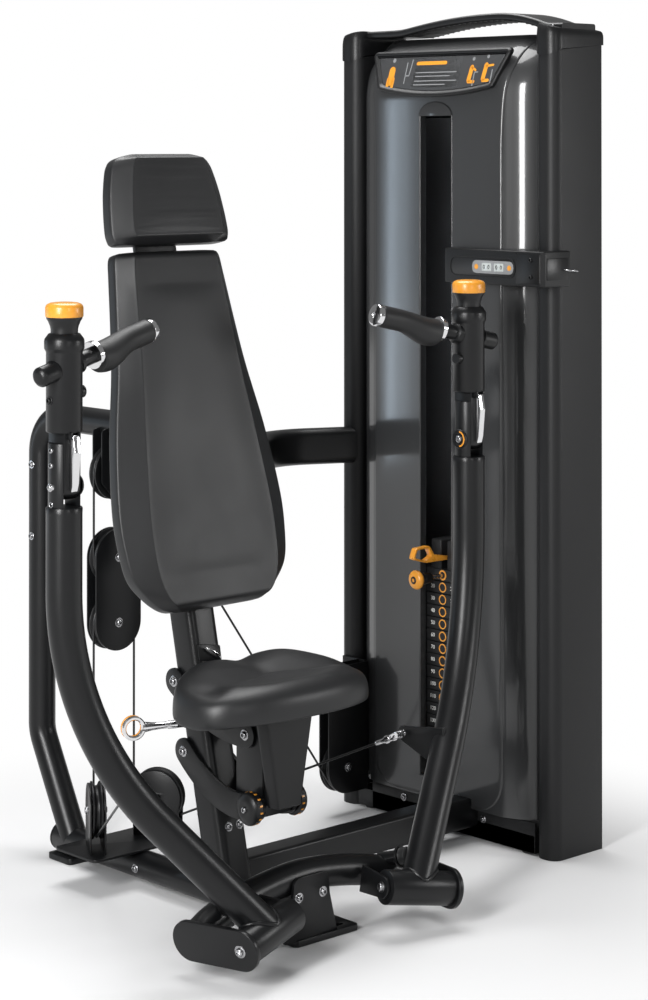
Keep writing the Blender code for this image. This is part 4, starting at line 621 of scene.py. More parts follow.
# Front bow, pivot plates, stops
pivot = dict(outer=(0.274, -0.148, 0.076), inner=(0.125, -0.116, 0.102), behind=0.122, sleeveR=0.034, plateT=0.010,
             plateR=0.040, shaftR=0.010, stopAlong=0.040, stopT=0.020)
arm = dict(radius=0.034, foot=(0.218, -0.120, 0.114), plan=28.0, rake=44.0, lower=0.272, bendR=0.630, topZ=0.904,
           lugBack=0.1195, lugRise=0.030, lugUp=0.259, lugT=0.010, lugR=0.016, forkL=0.050)
pivotOut, pivotIn = Vector(pivot["outer"]), Vector(pivot["inner"])
pivotAxis, pivotBack, pivotRise = axesOf(pivotOut - pivotIn, alongY)
rake, plan = math.radians(arm["rake"]), math.radians(arm["plan"])
armDir = Vector((math.sin(rake) * math.cos(plan), math.sin(rake) * math.sin(plan), math.cos(rake)))
armFoot = Vector(arm["foot"])
bowEnd = pivotOut + pivotBack * pivot["behind"] + pivotAxis * 0.002
bowHalf = [bowEnd, bowEnd - pivotAxis * 0.022]
for k in (0.8, 0.65, 0.5, 0.35, 0.18):
    bowHalf.append(Vector((bowEnd.x * k, base["bowY"] + (bowEnd.y - base["bowY"]) * k ** 3,
                           base["bowTop"] + (bowEnd.z - base["bowTop"]) * k ** 1.6)))
bowLine = [Vector((-p.x, p.y, p.z)) for p in bowHalf] + [Vector((0, base["bowY"], base["bowTop"]))] + bowHalf[::-1]
piece("bowTube", sweep(smoothLine(bowLine, 96), circle(base["bowR"], 48), alongY), "powder_coat", stands=("bow_frame",))
longPlate = capsule((0, 0), (pivot["behind"], 0), pivot["plateR"], pivot["plateR"], 20)
outerPlate = plate(longPlate, pivotOut, pivotBack, pivotRise, pivot["plateT"], 0.0016, 3)
innerReach = pivot["behind"] - base["bowR"] - 0.013
innerPlate = plate(arc((0, 0), 0.022, 110, 250, 16) + [(innerReach, -0.026), (innerReach, 0.026)],
                   pivotIn - pivotAxis * base["plateT"], pivotBack, pivotRise, base["plateT"])
piece("pivotPlates", both(join(outerPlate, innerPlate)), "powder_coat")
backward = (alongY - armDir * alongY.dot(armDir)).normalized()
stopStart = armFoot + armDir * pivot["stopAlong"] + backward * (arm["radius"] + gap)
stopPost = turned(((pivot["stopT"] + gap, 0.021), (pivot["stopT"] + 0.0014, 0.022), (pivot["stopT"] + 0.005, 0.022),
                   (pivot["stopT"] + 0.006, 0.021), (pivot["stopT"] + 0.006, 0.013), (0.075, 0.013)),
                  stopStart, backward)
piece("stopPosts", both(stopPost), "powder_coat")
for name, sign in sides:
    pad = turned(((0, 0.011), (0.0012, 0.0146), (0.004, 0.0175), (0.007, 0.018), (0.013, 0.0165),
                  (pivot["stopT"] - 0.001, 0.018), (pivot["stopT"], 0.0172)), stopStart, backward)
    piece(name + "StopPad", flip(pad, sign), "rubber", stands=(name + "_bumper",))
caps = []
for sign in (1, -1):
    heads = [bolt(pivotOut + pivotAxis * pivot["plateT"], pivotAxis, 0.0095),
             bolt(pivotIn - pivotAxis * base["plateT"], -pivotAxis, 0.0085)]
    caps += [flip(head, sign) for head in heads]
shafts = both(rod(pivotIn - pivotAxis * 0.004, pivotOut + pivotAxis * 0.006, pivot["shaftR"]))
piece("pivotShafts", shafts, "bright_steel")
for x in (-0.034, 0.030):
    caps.append(bolt((x, bowFront - base["plateT"], 0.096), -alongY, 0.0082))
caps.append(bolt((-base["radius"] + 0.0006, 0.486, runnerZ - 0.002), -alongX, 0.0074))
piece("baseScrews", join(*caps), "zinc")
print("base done")

# Press arms
planDir = Vector((math.cos(plan), math.sin(plan), 0))
bendStart = armFoot + armDir * arm["lower"]
bendMid = bendStart - (planDir * math.cos(rake) - up * math.sin(rake)) * arm["bendR"]
armLine = [armFoot - armDir * 0.024] + [armFoot + (bendStart - armFoot) * k / 4 for k in range(1, 5)]
for i in range(1, 41):
    angle = rake * (1 - i / 40)
    armLine.append(bendMid + (planDir * math.cos(angle) - up * math.sin(angle)) * arm["bendR"])
armLine.append(Vector((armLine[-1].x, armLine[-1].y, arm["topZ"])))
armTop = armLine[-1]
hingeZ = 0.945
hinge = Vector((armTop.x, armTop.y, hingeZ))
lugPin = armFoot + armDir * arm["lugUp"] + Vector((0, arm["lugBack"], arm["lugRise"]))
cheek = dict(radius=0.030, gap=0.0185, topZ=1.026)


def armShapes():
    shell = sweep(armLine, circle(arm["radius"], 56), up)
    rim = turned(((-0.0005, 0.0325), (0.0, 0.034), (0.010, 0.0345), (0.0125, 0.0332)),
                 (armTop.x, armTop.y, arm["topZ"] - 0.010), up, count=56)
    sleeve = rod(pivotIn + pivotAxis * gap, pivotOut - pivotAxis * gap, pivot["sleeveR"], 56, 0.0014)
    root = armFoot + armDir * arm["lugUp"]
    ear = [(0.0, -0.030)] + arc((arm["lugBack"], arm["lugRise"]), arm["lugR"], -70, 100, 24)
    ear += [(0.040, 0.056), (0.0, 0.062)]
    lug = plate(ear, root - Vector((arm["lugT"] / 2, 0, 0)), alongY, up, arm["lugT"], 0.0014, 3)
    halfTurn = math.degrees(math.acos(cheek["gap"] / cheek["radius"]))
    forks = []
    for turn in (0, 180):
        outline = arc((0, 0), cheek["radius"], turn - halfTurn, turn + halfTurn, 20)
        low = Vector((hinge.x, hinge.y, arm["topZ"] - 0.004))
        forks.append(plate(outline, low, alongX, alongY, cheek["topZ"] - low.z, 0.0014, 3))
    weld = []
    meet = pivotIn + pivotAxis * (pivotIn - armFoot).dot(-pivotAxis)
    for k in range(48):
        angle = 2 * math.pi * k / 48
        axis, first, second = axesOf(armDir)
        spot = (armFoot - armDir * 0.06 + first * math.cos(angle) * arm["radius"]
                + second * math.sin(angle) * arm["radius"])
        for _ in range(60):
            away = (spot - meet) - pivotAxis * (spot - meet).dot(pivotAxis)
            if away.length > pivot["sleeveR"] and (spot - meet).dot(armDir) > 0:
                break
            spot += armDir * 0.002
        weld.append(spot)
    bead = []
    for k, spot in enumerate(weld):
        ahead = (weld[(k + 1) % 48] - weld[k - 1]).normalized()
        axis, first, second = axesOf(ahead, armDir)
        bead.append([spot + first * a + second * b for a, b in circle(0.0042, 10)])
    return join(shell, rim, sleeve, lug, loft(bead, closed=True), *forks)


for name, sign in sides:
    piece(name + "ArmTube", flip(armShapes(), sign), "powder_coat", name + "_arm", (name + "_arm",))
    outer = hinge + Vector((cheek["radius"], 0, 0))
    heads = [bolt((outer.x - 0.0008, hinge.y, z), alongX, 0.0062, False) for z in (1.013, 0.985)]
    heads.append(ring((outer.x - 0.004, hinge.y, 0.9125), (outer.x + 0.0012, hinge.y, 0.9125), 0.0058, 0.0036, 24))
    fork = turned(((-0.004, 0.0070), (0.000, 0.0085), (0.004, 0.0085), (0.005, 0.0070)), lugPin - alongX * 0.012,
                  alongX, count=24)
    heads += [fork, bolt(lugPin + alongX * (arm["lugT"] / 2), alongX, 0.0078, True)]
    piece(name + "ArmScrews", flip(join(*heads), sign), "zinc", name + "_arm")
    inner = hinge - Vector((cheek["radius"], 0, 0))
    hub = turned(((0, 0.0205), (0.0026, 0.0205), (0.0042, 0.0190), (0.0042, 0.0120), (0.0030, 0.0112)),
                 inner + alongX * 0.0026, -alongX, count=48)
    piece(name + "HingeHub", flip(hub, sign), "black_plastic", name + "_arm")
    sweepArc = []
    for k in range(25):
        angle = math.radians(100 + 160 * k / 24)
        sweepArc.append(inner + Vector((-0.0016, math.cos(angle) * 0.0158, math.sin(angle) * 0.0158)))
    mark = sweep(sweepArc, roundedBox(0.0022, 0.0036, 0.0008, 3), alongX)
    piece(name + "HingeMark", flip(mark, sign), "orange_plastic", name + "_arm")
    piece(name + "HingeScrew", flip(bolt(inner - alongX * 0.0004, -alongX, 0.0074, False), sign), "zinc", name + "_arm")
print("arms done")

# Handle posts, grips, buttons, latches
post = dict(low=1.045, top=1.193, radius=0.034, collarR=0.0375, collarTop=1.228, tongueD=0.050, gripZ=1.165, barR=0.016,
            stub=0.066, gripFrom=0.086, gripTo=0.238, gripR=0.0235, trimT=0.011, plungerR=0.0255, flareZ=1.2585,
            buttonR=0.0355, buttonTop=1.286)
gripDir = Vector((-0.167, 0.030, 0.038)).normalized()
gripMid = Vector((hinge.x, hinge.y, post["gripZ"]))
postBase = Vector((hinge.x, hinge.y, 0))
latch = dict(width=0.014, thick=0.011, low=0.935)
collarTop, plungerR, gripR, trimT = post["collarTop"], post["plungerR"], post["gripR"], post["trimT"]
flareZ, buttonR, buttonTop = post["flareZ"], post["buttonR"], post["buttonTop"]


def postShape():
    low, top, rad = post["low"], post["top"], post["radius"]
    shell = turned(((low, rad - 0.003), (low + 0.001, rad - 0.001), (low + 0.003, rad), (top, rad),
                    (top + 0.002, rad + 0.0006), (top + 0.006, post["collarR"] - 0.0006),
                    (top + 0.008, post["collarR"]), (collarTop - 0.014, post["collarR"]),
                    (collarTop - 0.010, post["collarR"] - 0.0008), (collarTop - 0.001, plungerR + 0.0046),
                    (collarTop, plungerR + 0.0034), (collarTop - 0.001, plungerR + 0.0006),
                    (collarTop - 0.038, plungerR + 0.0006)), postBase, up, count=56)
    thick = cheek["gap"] - 0.0005
    deep = post["tongueD"] / 2
    outline = arc((0, hingeZ), deep, 180, 360, 20) + [(deep, low + 0.004), (-deep, low + 0.004)]
    tongue = plate(outline, (hinge.x - thick, hinge.y, 0), alongY, up, 2 * thick)
    stub = turned(((-post["stub"] - 0.006, 0.010), (-post["stub"] - 0.005, 0.0130), (-post["stub"], 0.0182),
                   (-post["stub"] + 0.002, 0.019), (-rad - 0.004, 0.019), (-rad + 0.004, 0.0215)), gripMid,
                  gripDir, count=48)
    socket = turned(((rad - 0.006, 0.0235), (rad + 0.004, 0.0225), (rad + 0.006, 0.0195), (rad + 0.008, post["barR"])),
                    gripMid, gripDir, count=48)
    bar = rod(gripMid, gripMid + gripDir * (post["gripFrom"] - 0.002), post["barR"], 48)
    front = hinge.y - post["tongueD"] / 2 - 0.0005
    ears = []
    for x in (-latch["width"] / 2 - 0.0045, latch["width"] / 2 + 0.0005):
        ears.append(block((hinge.x + x, front - 0.0105, low - 0.011),
                          (hinge.x + x + 0.004, front + 0.004, low + 0.002), 0.0008))
    return join(shell, tongue, stub, socket, bar, *ears)


def gripShape():
    start, end = post["gripFrom"] + gap, post["gripTo"] - gap
    axis, outward, upward = axesOf(gripDir)
    rings = []
    for k in range(57):
        t = k / 56
        palm = max(0.0, 1 - abs(t - 0.17) / 0.50)
        sag = 0.011 * palm * palm * (3 - 2 * palm)
        edge = min(t, 1 - t) * (end - start)
        lip = max(0.0, 1 - edge / 0.0025) ** 2 * 0.0012
        spot = gripMid + gripDir * (start + (end - start) * t) - outward * sag
        loop = []
        for a, b in circle(1.0, 56):
            seam = math.exp(-((math.atan2(b, a) - 0.35) / 0.045) ** 2) * 0.0005
            size = gripR + 0.62 * sag - lip - seam
            loop.append(spot + outward * a * size + upward * b * size)
        rings.append(loop)
    return loft(rings)


for name, sign in sides:
    body = name + "_handle"
    piece(name + "PostTube", flip(postShape(), sign), "powder_coat", body, (name + "_post",))
    piece(name + "GripRubber", flip(gripShape(), sign), "rubber", body, (name + "_grip",))
    trim = ring(gripMid + gripDir * (post["gripFrom"] - trimT), gripMid + gripDir * post["gripFrom"], gripR + 0.003,
                post["barR"] - 0.001, 56)
    piece(name + "GripCollar", flip(trim, sign), "chrome", body)
    end = turned(((0, gripR - 0.0006), (0.0008, gripR), (trimT - 0.001, gripR), (trimT + 0.0012, gripR - 0.0012),
                  (trimT + 0.0026, gripR - 0.0045), (trimT + 0.003, 0.0062), (trimT + 0.0022, 0.0052),
                  (trimT - 0.005, 0.0050)), gripMid + gripDir * post["gripTo"], gripDir, count=56)
    piece(name + "GripEnd", flip(end, sign), "chrome", body, (name + "_grip_cap",))
    pinEnds = rod((hinge.x - cheek["radius"] - 0.003, hinge.y, hingeZ),
                  (hinge.x + cheek["radius"] + 0.003, hinge.y, hingeZ), 0.008, 24)
    pinEnds = join(pinEnds, bolt((hinge.x + cheek["radius"] + 0.0026, hinge.y, hingeZ), alongX, 0.0062, False))
    knob = turned(((-0.0015, 0.0105), (0.0, 0.0118), (0.008, 0.0118), (0.0095, 0.0105)),
                  (hinge.x - post["radius"] + 0.001, hinge.y - 0.002, 1.118), -alongX, count=32)
    piece(name + "HingePin", flip(pinEnds, sign), "bright_steel", body)
    knob = join(knob, bolt((hinge.x + post["radius"] - 0.0006, hinge.y, 1.105), alongX, 0.0065))
    piece(name + "PostKnob", flip(knob, sign), "black_plastic", body)
    stem = turned(((collarTop - 0.022, plungerR), (collarTop + 0.008, plungerR), (collarTop + 0.014, plungerR + 0.0014),
                   (flareZ - 0.008, plungerR + 0.0048), (flareZ - 0.003, plungerR + 0.0080),
                   (flareZ, buttonR - 0.0018)), postBase, up, count=56)
    piece(name + "ButtonNeck", flip(stem, sign), "black_plastic", name + "_button")
    cap = turned(((flareZ - 0.0005, buttonR - 0.0035), (flareZ, buttonR - 0.0008), (flareZ + 0.0018, buttonR),
                  (buttonTop - 0.0100, buttonR), (buttonTop - 0.0062, buttonR - 0.0012),
                  (buttonTop - 0.0034, buttonR - 0.0040), (buttonTop - 0.0012, buttonR - 0.0092),
                  (buttonTop - 0.0002, buttonR * 0.52), (buttonTop, buttonR * 0.2)), postBase, up, count=56)
    piece(name + "ButtonCap", flip(cap, sign), "orange_plastic", name + "_button", (name + "_button",))
    front = hinge.y - post["tongueD"] / 2 - 0.0005
    lid = post["low"] - 0.003
    outline = roundPoly([(0, lid), (-latch["thick"], lid), (-latch["thick"] - 0.006, lid - 0.032),
                         (-latch["thick"], latch["low"] + 0.016), (-0.006, latch["low"]), (0, latch["low"] + 0.006)],
                        0.004)
    strip = plate(outline, (hinge.x - latch["width"] / 2, front, 0), alongY, up, latch["width"], 0.0012, 3)
    piece(name + "LatchLever", flip(strip, sign), "chrome", name + "_latch", (name + "_latch",))
print("handles done")

# Seat column, rear upright, tie beam
column = dict(lean=12.65, y=0.208, width=0.075, depth=0.075, corner=0.018, length=0.975, pivotBack=0.0335,
              lowerUp=0.297, upperUp=0.440)
leanBy = math.radians(column["lean"])


def lean(x, back, rise):
    return Vector((x, column["y"] + back * math.cos(leanBy) + rise * math.sin(leanBy),
                   runnerZ - back * math.sin(leanBy) + rise * math.cos(leanBy)))


columnBack = lean(0, 1, 0) - lean(0, 0, 0)
lowerRear = lean(0, column["pivotBack"], column["lowerUp"])
upperRear = lean(0, column["pivotBack"], column["upperUp"])
linkStep = Vector((0, -0.225, -0.071))
lowerFront, upperFront = lowerRear + linkStep, upperRear + linkStep
halfW = column["width"] / 2
shell = sweep([lean(0, 0, 0.004), lean(0, 0, 0.30), lean(0, 0, 0.6), lean(0, 0, column["length"])],
              roundedBox(column["width"], column["depth"], column["corner"]), alongX)
bosses = [rod(spot - alongX * (halfW - 0.001), spot + alongX * (halfW - 0.001), 0.019, 40)
          for spot in (lowerRear, upperRear)]
piece("seatColumn", join(shell, *bosses), "powder_coat", stands=("seat_column",))
columnEnd = loft([[lean(a, b, column["length"] + rise)
                   for a, b in roundedBox(column["width"] - cut, column["depth"] - cut, column["corner"])]
                  for rise, cut in ((0, 0.001), (0.003, 0.001), (0.005, 0.005))])
piece("columnCap", columnEnd, "black_plastic")
hookPlate = roundPoly([(-0.030, 0.475), (0.028, 0.467), (0.029, 0.499), (-0.030, 0.509)], 0.004)
columnUp = lean(0, 0, 1) - lean(0, 0, 0)
piece("columnHook", plate(hookPlate, lean(0, -column["depth"] / 2 - gap, 0), alongX, columnUp, 0.004), "powder_coat")
hookWire = smoothLine([lean(x, -column["depth"] / 2 - deep, u)
                       for x, deep, u in ((-0.012, 0.004, 0.497), (-0.010, 0.012, 0.496), (0.002, 0.015, 0.488),
                                          (0.014, 0.014, 0.479), (0.020, 0.010, 0.474))], 24)
piece("hookWire", sweep(hookWire, circle(0.0024, 14), up), "chrome")
rear = dict(radius=0.030, y=0.860, footY=0.738, kneeZ=0.262, topZ=0.970, tieZ=0.857, tieH=0.085, tieD=0.055)
columnRear = lean(0, column["depth"] / 2 + gap, (rear["topZ"] - runnerZ) / math.cos(leanBy))
rearPath = bend([(0, rear["footY"], runnerZ), (0, rear["y"], rear["kneeZ"]), (0, rear["y"], rear["topZ"]),
                 columnRear + Vector((0, 0, rear["topZ"] - columnRear.z))], 0.085, 20)
upright = sweep(rearPath, circle(rear["radius"], 48), alongX, (((0, 0, runnerZ), up), (columnRear, columnBack)))
piece("rearUpright", upright, "powder_coat", stands=("rear_upright",))
tower = dict(x=0.754, depth=0.160, y=-0.005, width=0.692, postW=0.062, nose=0.026, height=1.800, capH=0.034, lip=0.003,
             archX=0.786, archW=0.112, archT=0.017, archRise=0.029, archPeak=-0.41)
towerMid = tower["y"] + tower["width"] / 2
innerLow, innerHigh = tower["y"] + tower["postW"], tower["y"] + tower["width"] - tower["postW"]
rearPost = tower["y"] + tower["width"] - tower["postW"] / 2
tieStart = lean(0, 0, (rear["tieZ"] - runnerZ) / math.cos(leanBy)).y
tieLine = bend([(halfW + gap, tieStart + 0.004, rear["tieZ"]), (0.575, rearPost + 0.082, rear["tieZ"]),
                (tower["x"] - gap, rearPost, rear["tieZ"])], 0.170, 24)
tie = sweep(tieLine, roundedBox(rear["tieH"], rear["tieD"], 0.020), up,
            (((halfW + gap, 0, 0), alongX), ((tower["x"] - gap, 0, 0), alongX)))
piece("tieBeam", tie, "powder_coat", stands=("tie_beam",))
columnFront = lean(0, -1, 0) - lean(0, 0, 0)
screws = [bolt(lean(x, -column["depth"] / 2, 0.137), columnFront, 0.0075) for x in (-0.012, 0.017)]
screws += [bolt((-rear["radius"] + 0.0006, rear["y"], z), -alongX, 0.0070) for z in (0.860, 0.700)]
screws += [bolt((rear["radius"] - 0.0006, rear["y"], z), alongX, 0.0070) for z in (0.860, 0.700)]
screws += [bolt(lean(x, column["depth"] / 2, u), columnBack, 0.0075)
           for x, u in ((-0.018, 0.70), (0.018, 0.70), (-0.018, 0.84), (0.018, 0.84))]
piece("columnScrews", join(*screws), "zinc")
print("columns done")

# Seat linkage
link = dict(thick=0.008, radius=0.027, sag=0.034, x=halfW + 0.0005, pinR=0.008, dialR=0.033, dialT=0.030, neckR=0.020)


def linkOutline(front, back, sag):
    a, b = Vector((front.y, front.z)), Vector((back.y, back.z))
    middle = (a + b) / 2 + Vector((0, -2 * sag))
    steps = 28
    line = [a * (1 - t) ** 2 + middle * 2 * t * (1 - t) + b * t * t for t in [i / steps for i in range(steps + 1)]]
    lower, upper = [], []
    for i, point in enumerate(line):
        heading = (line[min(i + 1, steps)] - line[max(i - 1, 0)]).normalized()
        across = Vector((-heading.y, heading.x)) * link["radius"]
        lower.append(point - across)
        upper.append(point + across)
    first = math.degrees(math.atan2(*(upper[0] - a).yx))
    last = math.degrees(math.atan2(*(lower[-1] - b).yx))
    points = [tuple(p) for p in lower[:-1]] + arc(tuple(b), link["radius"], last, last + 180, 16)
    return points + [tuple(p) for p in upper[-2::-1]] + arc(tuple(a), link["radius"], first, first + 180, 16)[1:-1]


for name, front, back, sag in (("lower_links", lowerFront, lowerRear, link["sag"]),
                               ("upper_links", upperFront, upperRear, link["sag"] * 0.6)):
    outline = linkOutline(front, back, sag)
    pair = [plate(outline, (x, 0, 0), alongY, up, link["thick"], 0.0012)
            for x in (link["x"], -link["x"] - link["thick"])]
    pins = [rod(spot - alongX * (link["x"] + 0.006), spot + alongX * (link["x"] + 0.006), link["pinR"], 32)
            for spot in (front, back)]
    piece(name.replace("_l", "L"), join(*pair, *pins), "powder_coat", name, (name,))
    outside = link["x"] + link["thick"]
    spots = (back,) if name == "lower_links" else (front, back)
    heads = [bolt(spot + alongX * outside * k, alongX * k, 0.0088) for spot in spots for k in (1, -1)]
    piece(name.replace("_l", "L") + "Screws", join(*heads), "zinc", name)
outside = link["x"] + link["thick"]
dials, marks, screws = [], [], []
for k in (1, -1):
    spot = lowerFront + alongX * k * (outside - 0.001)
    length, rim = link["dialT"], link["dialR"]
    knurl = []
    for along, radius, cut in ((0, link["neckR"], 0), (0.0058, link["neckR"], 0), (0.0062, rim - 0.0012, 0),
                               (0.0070, rim, 0), (0.0085, rim, 0.0007), (0.0190, rim, 0.0007),
                               (0.0205, rim - 0.0004, 0), (0.0235, rim - 0.0026, 0), (0.0265, rim - 0.0068, 0),
                               (0.0285, rim - 0.0120, 0), (length, 0.0150, 0), (length - 0.0010, 0.0098, 0)):
        loop = []
        for i in range(96):
            angle = 2 * math.pi * i / 96
            size = radius - (cut if i % 4 == 0 else 0)
            loop.append(spot + alongX * k * along + Vector((0, math.cos(angle) * size, math.sin(angle) * size)))
        knurl.append(loop)
    dials.append(loft(knurl))
    for turn in range(18, 378, 24):
        out = Vector((0, math.cos(math.radians(turn)), math.sin(math.radians(turn))))
        place = spot + alongX * k * 0.0112 + out * (rim - 0.0003)
        across = out.cross(alongX)
        marks.append(plate(roundedBox(0.0066 if turn % 48 else 0.0044, 0.0034, 0.0007, 3), place, alongX, across,
                           0.0010, 0.0002, 1))
    screws.append(bolt(spot + alongX * k * (length - 0.0012), alongX * k, 0.0072, False))
piece("seatDials", join(*dials), "black_plastic", "lower_links")
piece("dialMarks", join(*marks), "orange_plastic", "lower_links")
piece("dialScrews", join(*screws), "zinc", "lower_links")

# Seat carriage and release lever
seat = dict(rise=0.056, plateT=0.0115, halfW=0.223, front=-0.047, rear=0.208, padT=0.048, round=2.5, kick=0.034)
under = upperFront.z + seat["rise"]
plateLow = under - gap - seat["plateT"]
frameLow, frameFront = lowerFront.z - 0.018, lowerFront.y - 0.018
release = Vector((-0.085, upperFront.y + 0.038, under - 0.027))
releaseEnd = release + Vector((-0.165, 0.064, 0.0))
coverRear, coverLow = lowerFront.y - link["radius"] - 0.001, frameLow + 0.020
coverTop = plateLow + 0.002
coverRings = []
for part in (0.0, 0.012, 0.05, 0.25, 0.5, 0.75, 1.0):
    wide = 0.041 + 0.033 * part - (0.0025 if part == 0 else 0)
    ahead = 0.0 if part else 0.0015
    line = roundPoly([(-wide, coverRear), (-wide + 0.013, coverRear - 0.027 + ahead),
                      (wide - 0.013, coverRear - 0.027 + ahead), (wide, coverRear)], 0.007, 6)
    coverRings.append([Vector((x, y, coverLow + (coverTop - coverLow) * part)) for x, y in line])
piece("seatCover", loft(coverRings), "black_plastic", "seat", ("seat_carriage",), 24)
neckBlock = block((0.002 - halfW, coverRear - 0.004, coverLow + 0.004),
                  (halfW - 0.002, frameFront + 0.006, plateLow + 0.001), 0.0010)
cheeks = [block((x, frameFront, frameLow), (x + 0.006, upperFront.y + 0.036, plateLow + 0.002), 0.0014)
          for x in (-halfW, halfW - 0.006)]
cheeks += [neckBlock, block((-halfW, frameFront, frameLow), (halfW, frameFront + 0.006, plateLow + 0.001), 0.0014)]
seatPlate = plate(roundRect(-0.150, 0.150, frameFront - 0.028, upperFront.y + 0.056, 0.020), (0, 0, plateLow),
                  alongX, alongY, seat["plateT"])
ears = [block((release.x - 0.009, release.y + y0, release.z - 0.010),
              (release.x + 0.013, release.y + y1, plateLow + 0.002), 0.0010)
        for y0, y1 in ((-0.0185, -0.0125), (0.0125, 0.0185))]
piece("seatFrame", join(seatPlate, *cheeks, *ears), "powder_coat", "seat")
heads = [bolt((release.x, release.y - 0.0185, release.z), -alongY, 0.0055, False),
         bolt((release.x, release.y + 0.0185, release.z), alongY, 0.0055, False)]
piece("seatScrews", join(*heads), "zinc", "seat")
heading = (releaseEnd - release).normalized()
across = heading.cross(up)
eye = ring((release.x, release.y - 0.012, release.z), (release.x, release.y + 0.012, release.z), 0.0095, 0.0043, 32)
stem = rod(release + heading * 0.006, releaseEnd - heading * 0.090, 0.0075, 32)
piece("releaseStem", join(eye, stem), "powder_coat", "seat_release", ("seat_release",))
neck = turned(((-0.092, 0.0060), (-0.090, 0.0082), (-0.074, 0.0082), (-0.072, 0.0068), (-0.060, 0.0066),
               (-0.040, 0.0078), (-0.026, 0.0100), (-0.018, 0.0105)), releaseEnd, heading, count=32)
loop = ring(releaseEnd - across * 0.0085, releaseEnd + across * 0.0010, 0.0242, 0.0160, 56, 0.0022)
piece("releaseRing", join(neck, loop), "chrome", "seat_release")
insert = ring(releaseEnd + across * 0.0010, releaseEnd + across * 0.0080, 0.0242, 0.0162, 56, 0.0016)
piece("releaseInsert", insert, "orange_plastic", "seat_release")
print("linkage done")


# Cushions: a tight cover over foam, held along its creases and blown up a little
def cushion(name, rings, look, body, stands):
    mesh = bpy.data.meshes.new(name)
    bm = loft(rings)
    bmesh.ops.recalc_face_normals(bm, faces=bm.faces)
    bm.to_mesh(mesh)
    bm.free()
    obj = bpy.data.objects.new(name, mesh)
    bpy.context.scene.collection.objects.link(obj)
    start = [v.co.copy() for v in mesh.vertices]
    count = len(rings[0])
    fixed = obj.vertex_groups.new(name="held")
    last = len(rings) - 1
    fixed.add([i for i in range(len(start)) if look["held"](i // count, i % count, last)], 1.0, "REPLACE")
    cloth = obj.modifiers.new("cover", "CLOTH")
    cloth.settings.use_pressure = True
    cloth.settings.uniform_pressure_force = look["pressure"]
    cloth.settings.effector_weights.gravity = 0
    cloth.settings.vertex_group_mass = "held"
    cloth.settings.tension_stiffness = 40
    cloth.settings.bending_stiffness = 6
    for step in range(1, 13):
        bpy.context.scene.frame_set(step)
    settle(obj)
    bpy.context.scene.frame_set(1)
    obj.vertex_groups.clear()
    for vert, spot in zip(obj.data.vertices, start):
        move = vert.co - spot
        if move.length > look["most"]:
            vert.co = spot + move.normalized() * look["most"]
    obj.data.materials.append(mats["vinyl"])
    obj.data.shade_smooth()
    finer = obj.modifiers.new("finer", "SUBSURF")
    finer.levels = finer.render_levels = 1
    settle(obj)
    obj.data.shade_smooth()
    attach(obj, body)
    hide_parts(*stands)


def settle(obj):
    bpy.context.view_layer.update()
    graph = bpy.context.evaluated_depsgraph_get()
    mesh = bpy.data.meshes.new_from_object(obj.evaluated_get(graph))
    obj.modifiers.clear()
    old = obj.data
    obj.data = mesh
    bpy.data.meshes.remove(old)


padSet = dict(boardT=0.012, backT=0.064, backLow=0.578, headLow=1.337, headT=0.066, headForward=0.022, plateH=0.125,
              back=((0.0, 0.114), (0.010, 0.138), (0.032, 0.168), (0.072, 0.202), (0.125, 0.215), (0.212, 0.219),
                    (0.36, 0.201), (0.50, 0.173), (0.60, 0.159), (0.70, 0.147), (0.735, 0.142), (0.748, 0.134)),
              backFace=((0.0, 0.094), (0.010, 0.118), (0.032, 0.142), (0.072, 0.158), (0.125, 0.164), (0.212, 0.163),
                        (0.36, 0.148), (0.50, 0.132), (0.60, 0.124), (0.70, 0.116), (0.748, 0.108)),
              head=((0.0, 0.146), (0.006, 0.153), (0.028, 0.158), (0.10, 0.151), (0.150, 0.140), (0.172, 0.131),
                    (0.186, 0.115), (0.194, 0.080)),
              headFace=((0.0, 0.112), (0.028, 0.121), (0.10, 0.113), (0.150, 0.103), (0.172, 0.096), (0.186, 0.084),
                        (0.194, 0.060)))
boardRear = -column["depth"] / 2 - gap
boardFront = boardRear - padSet["boardT"]


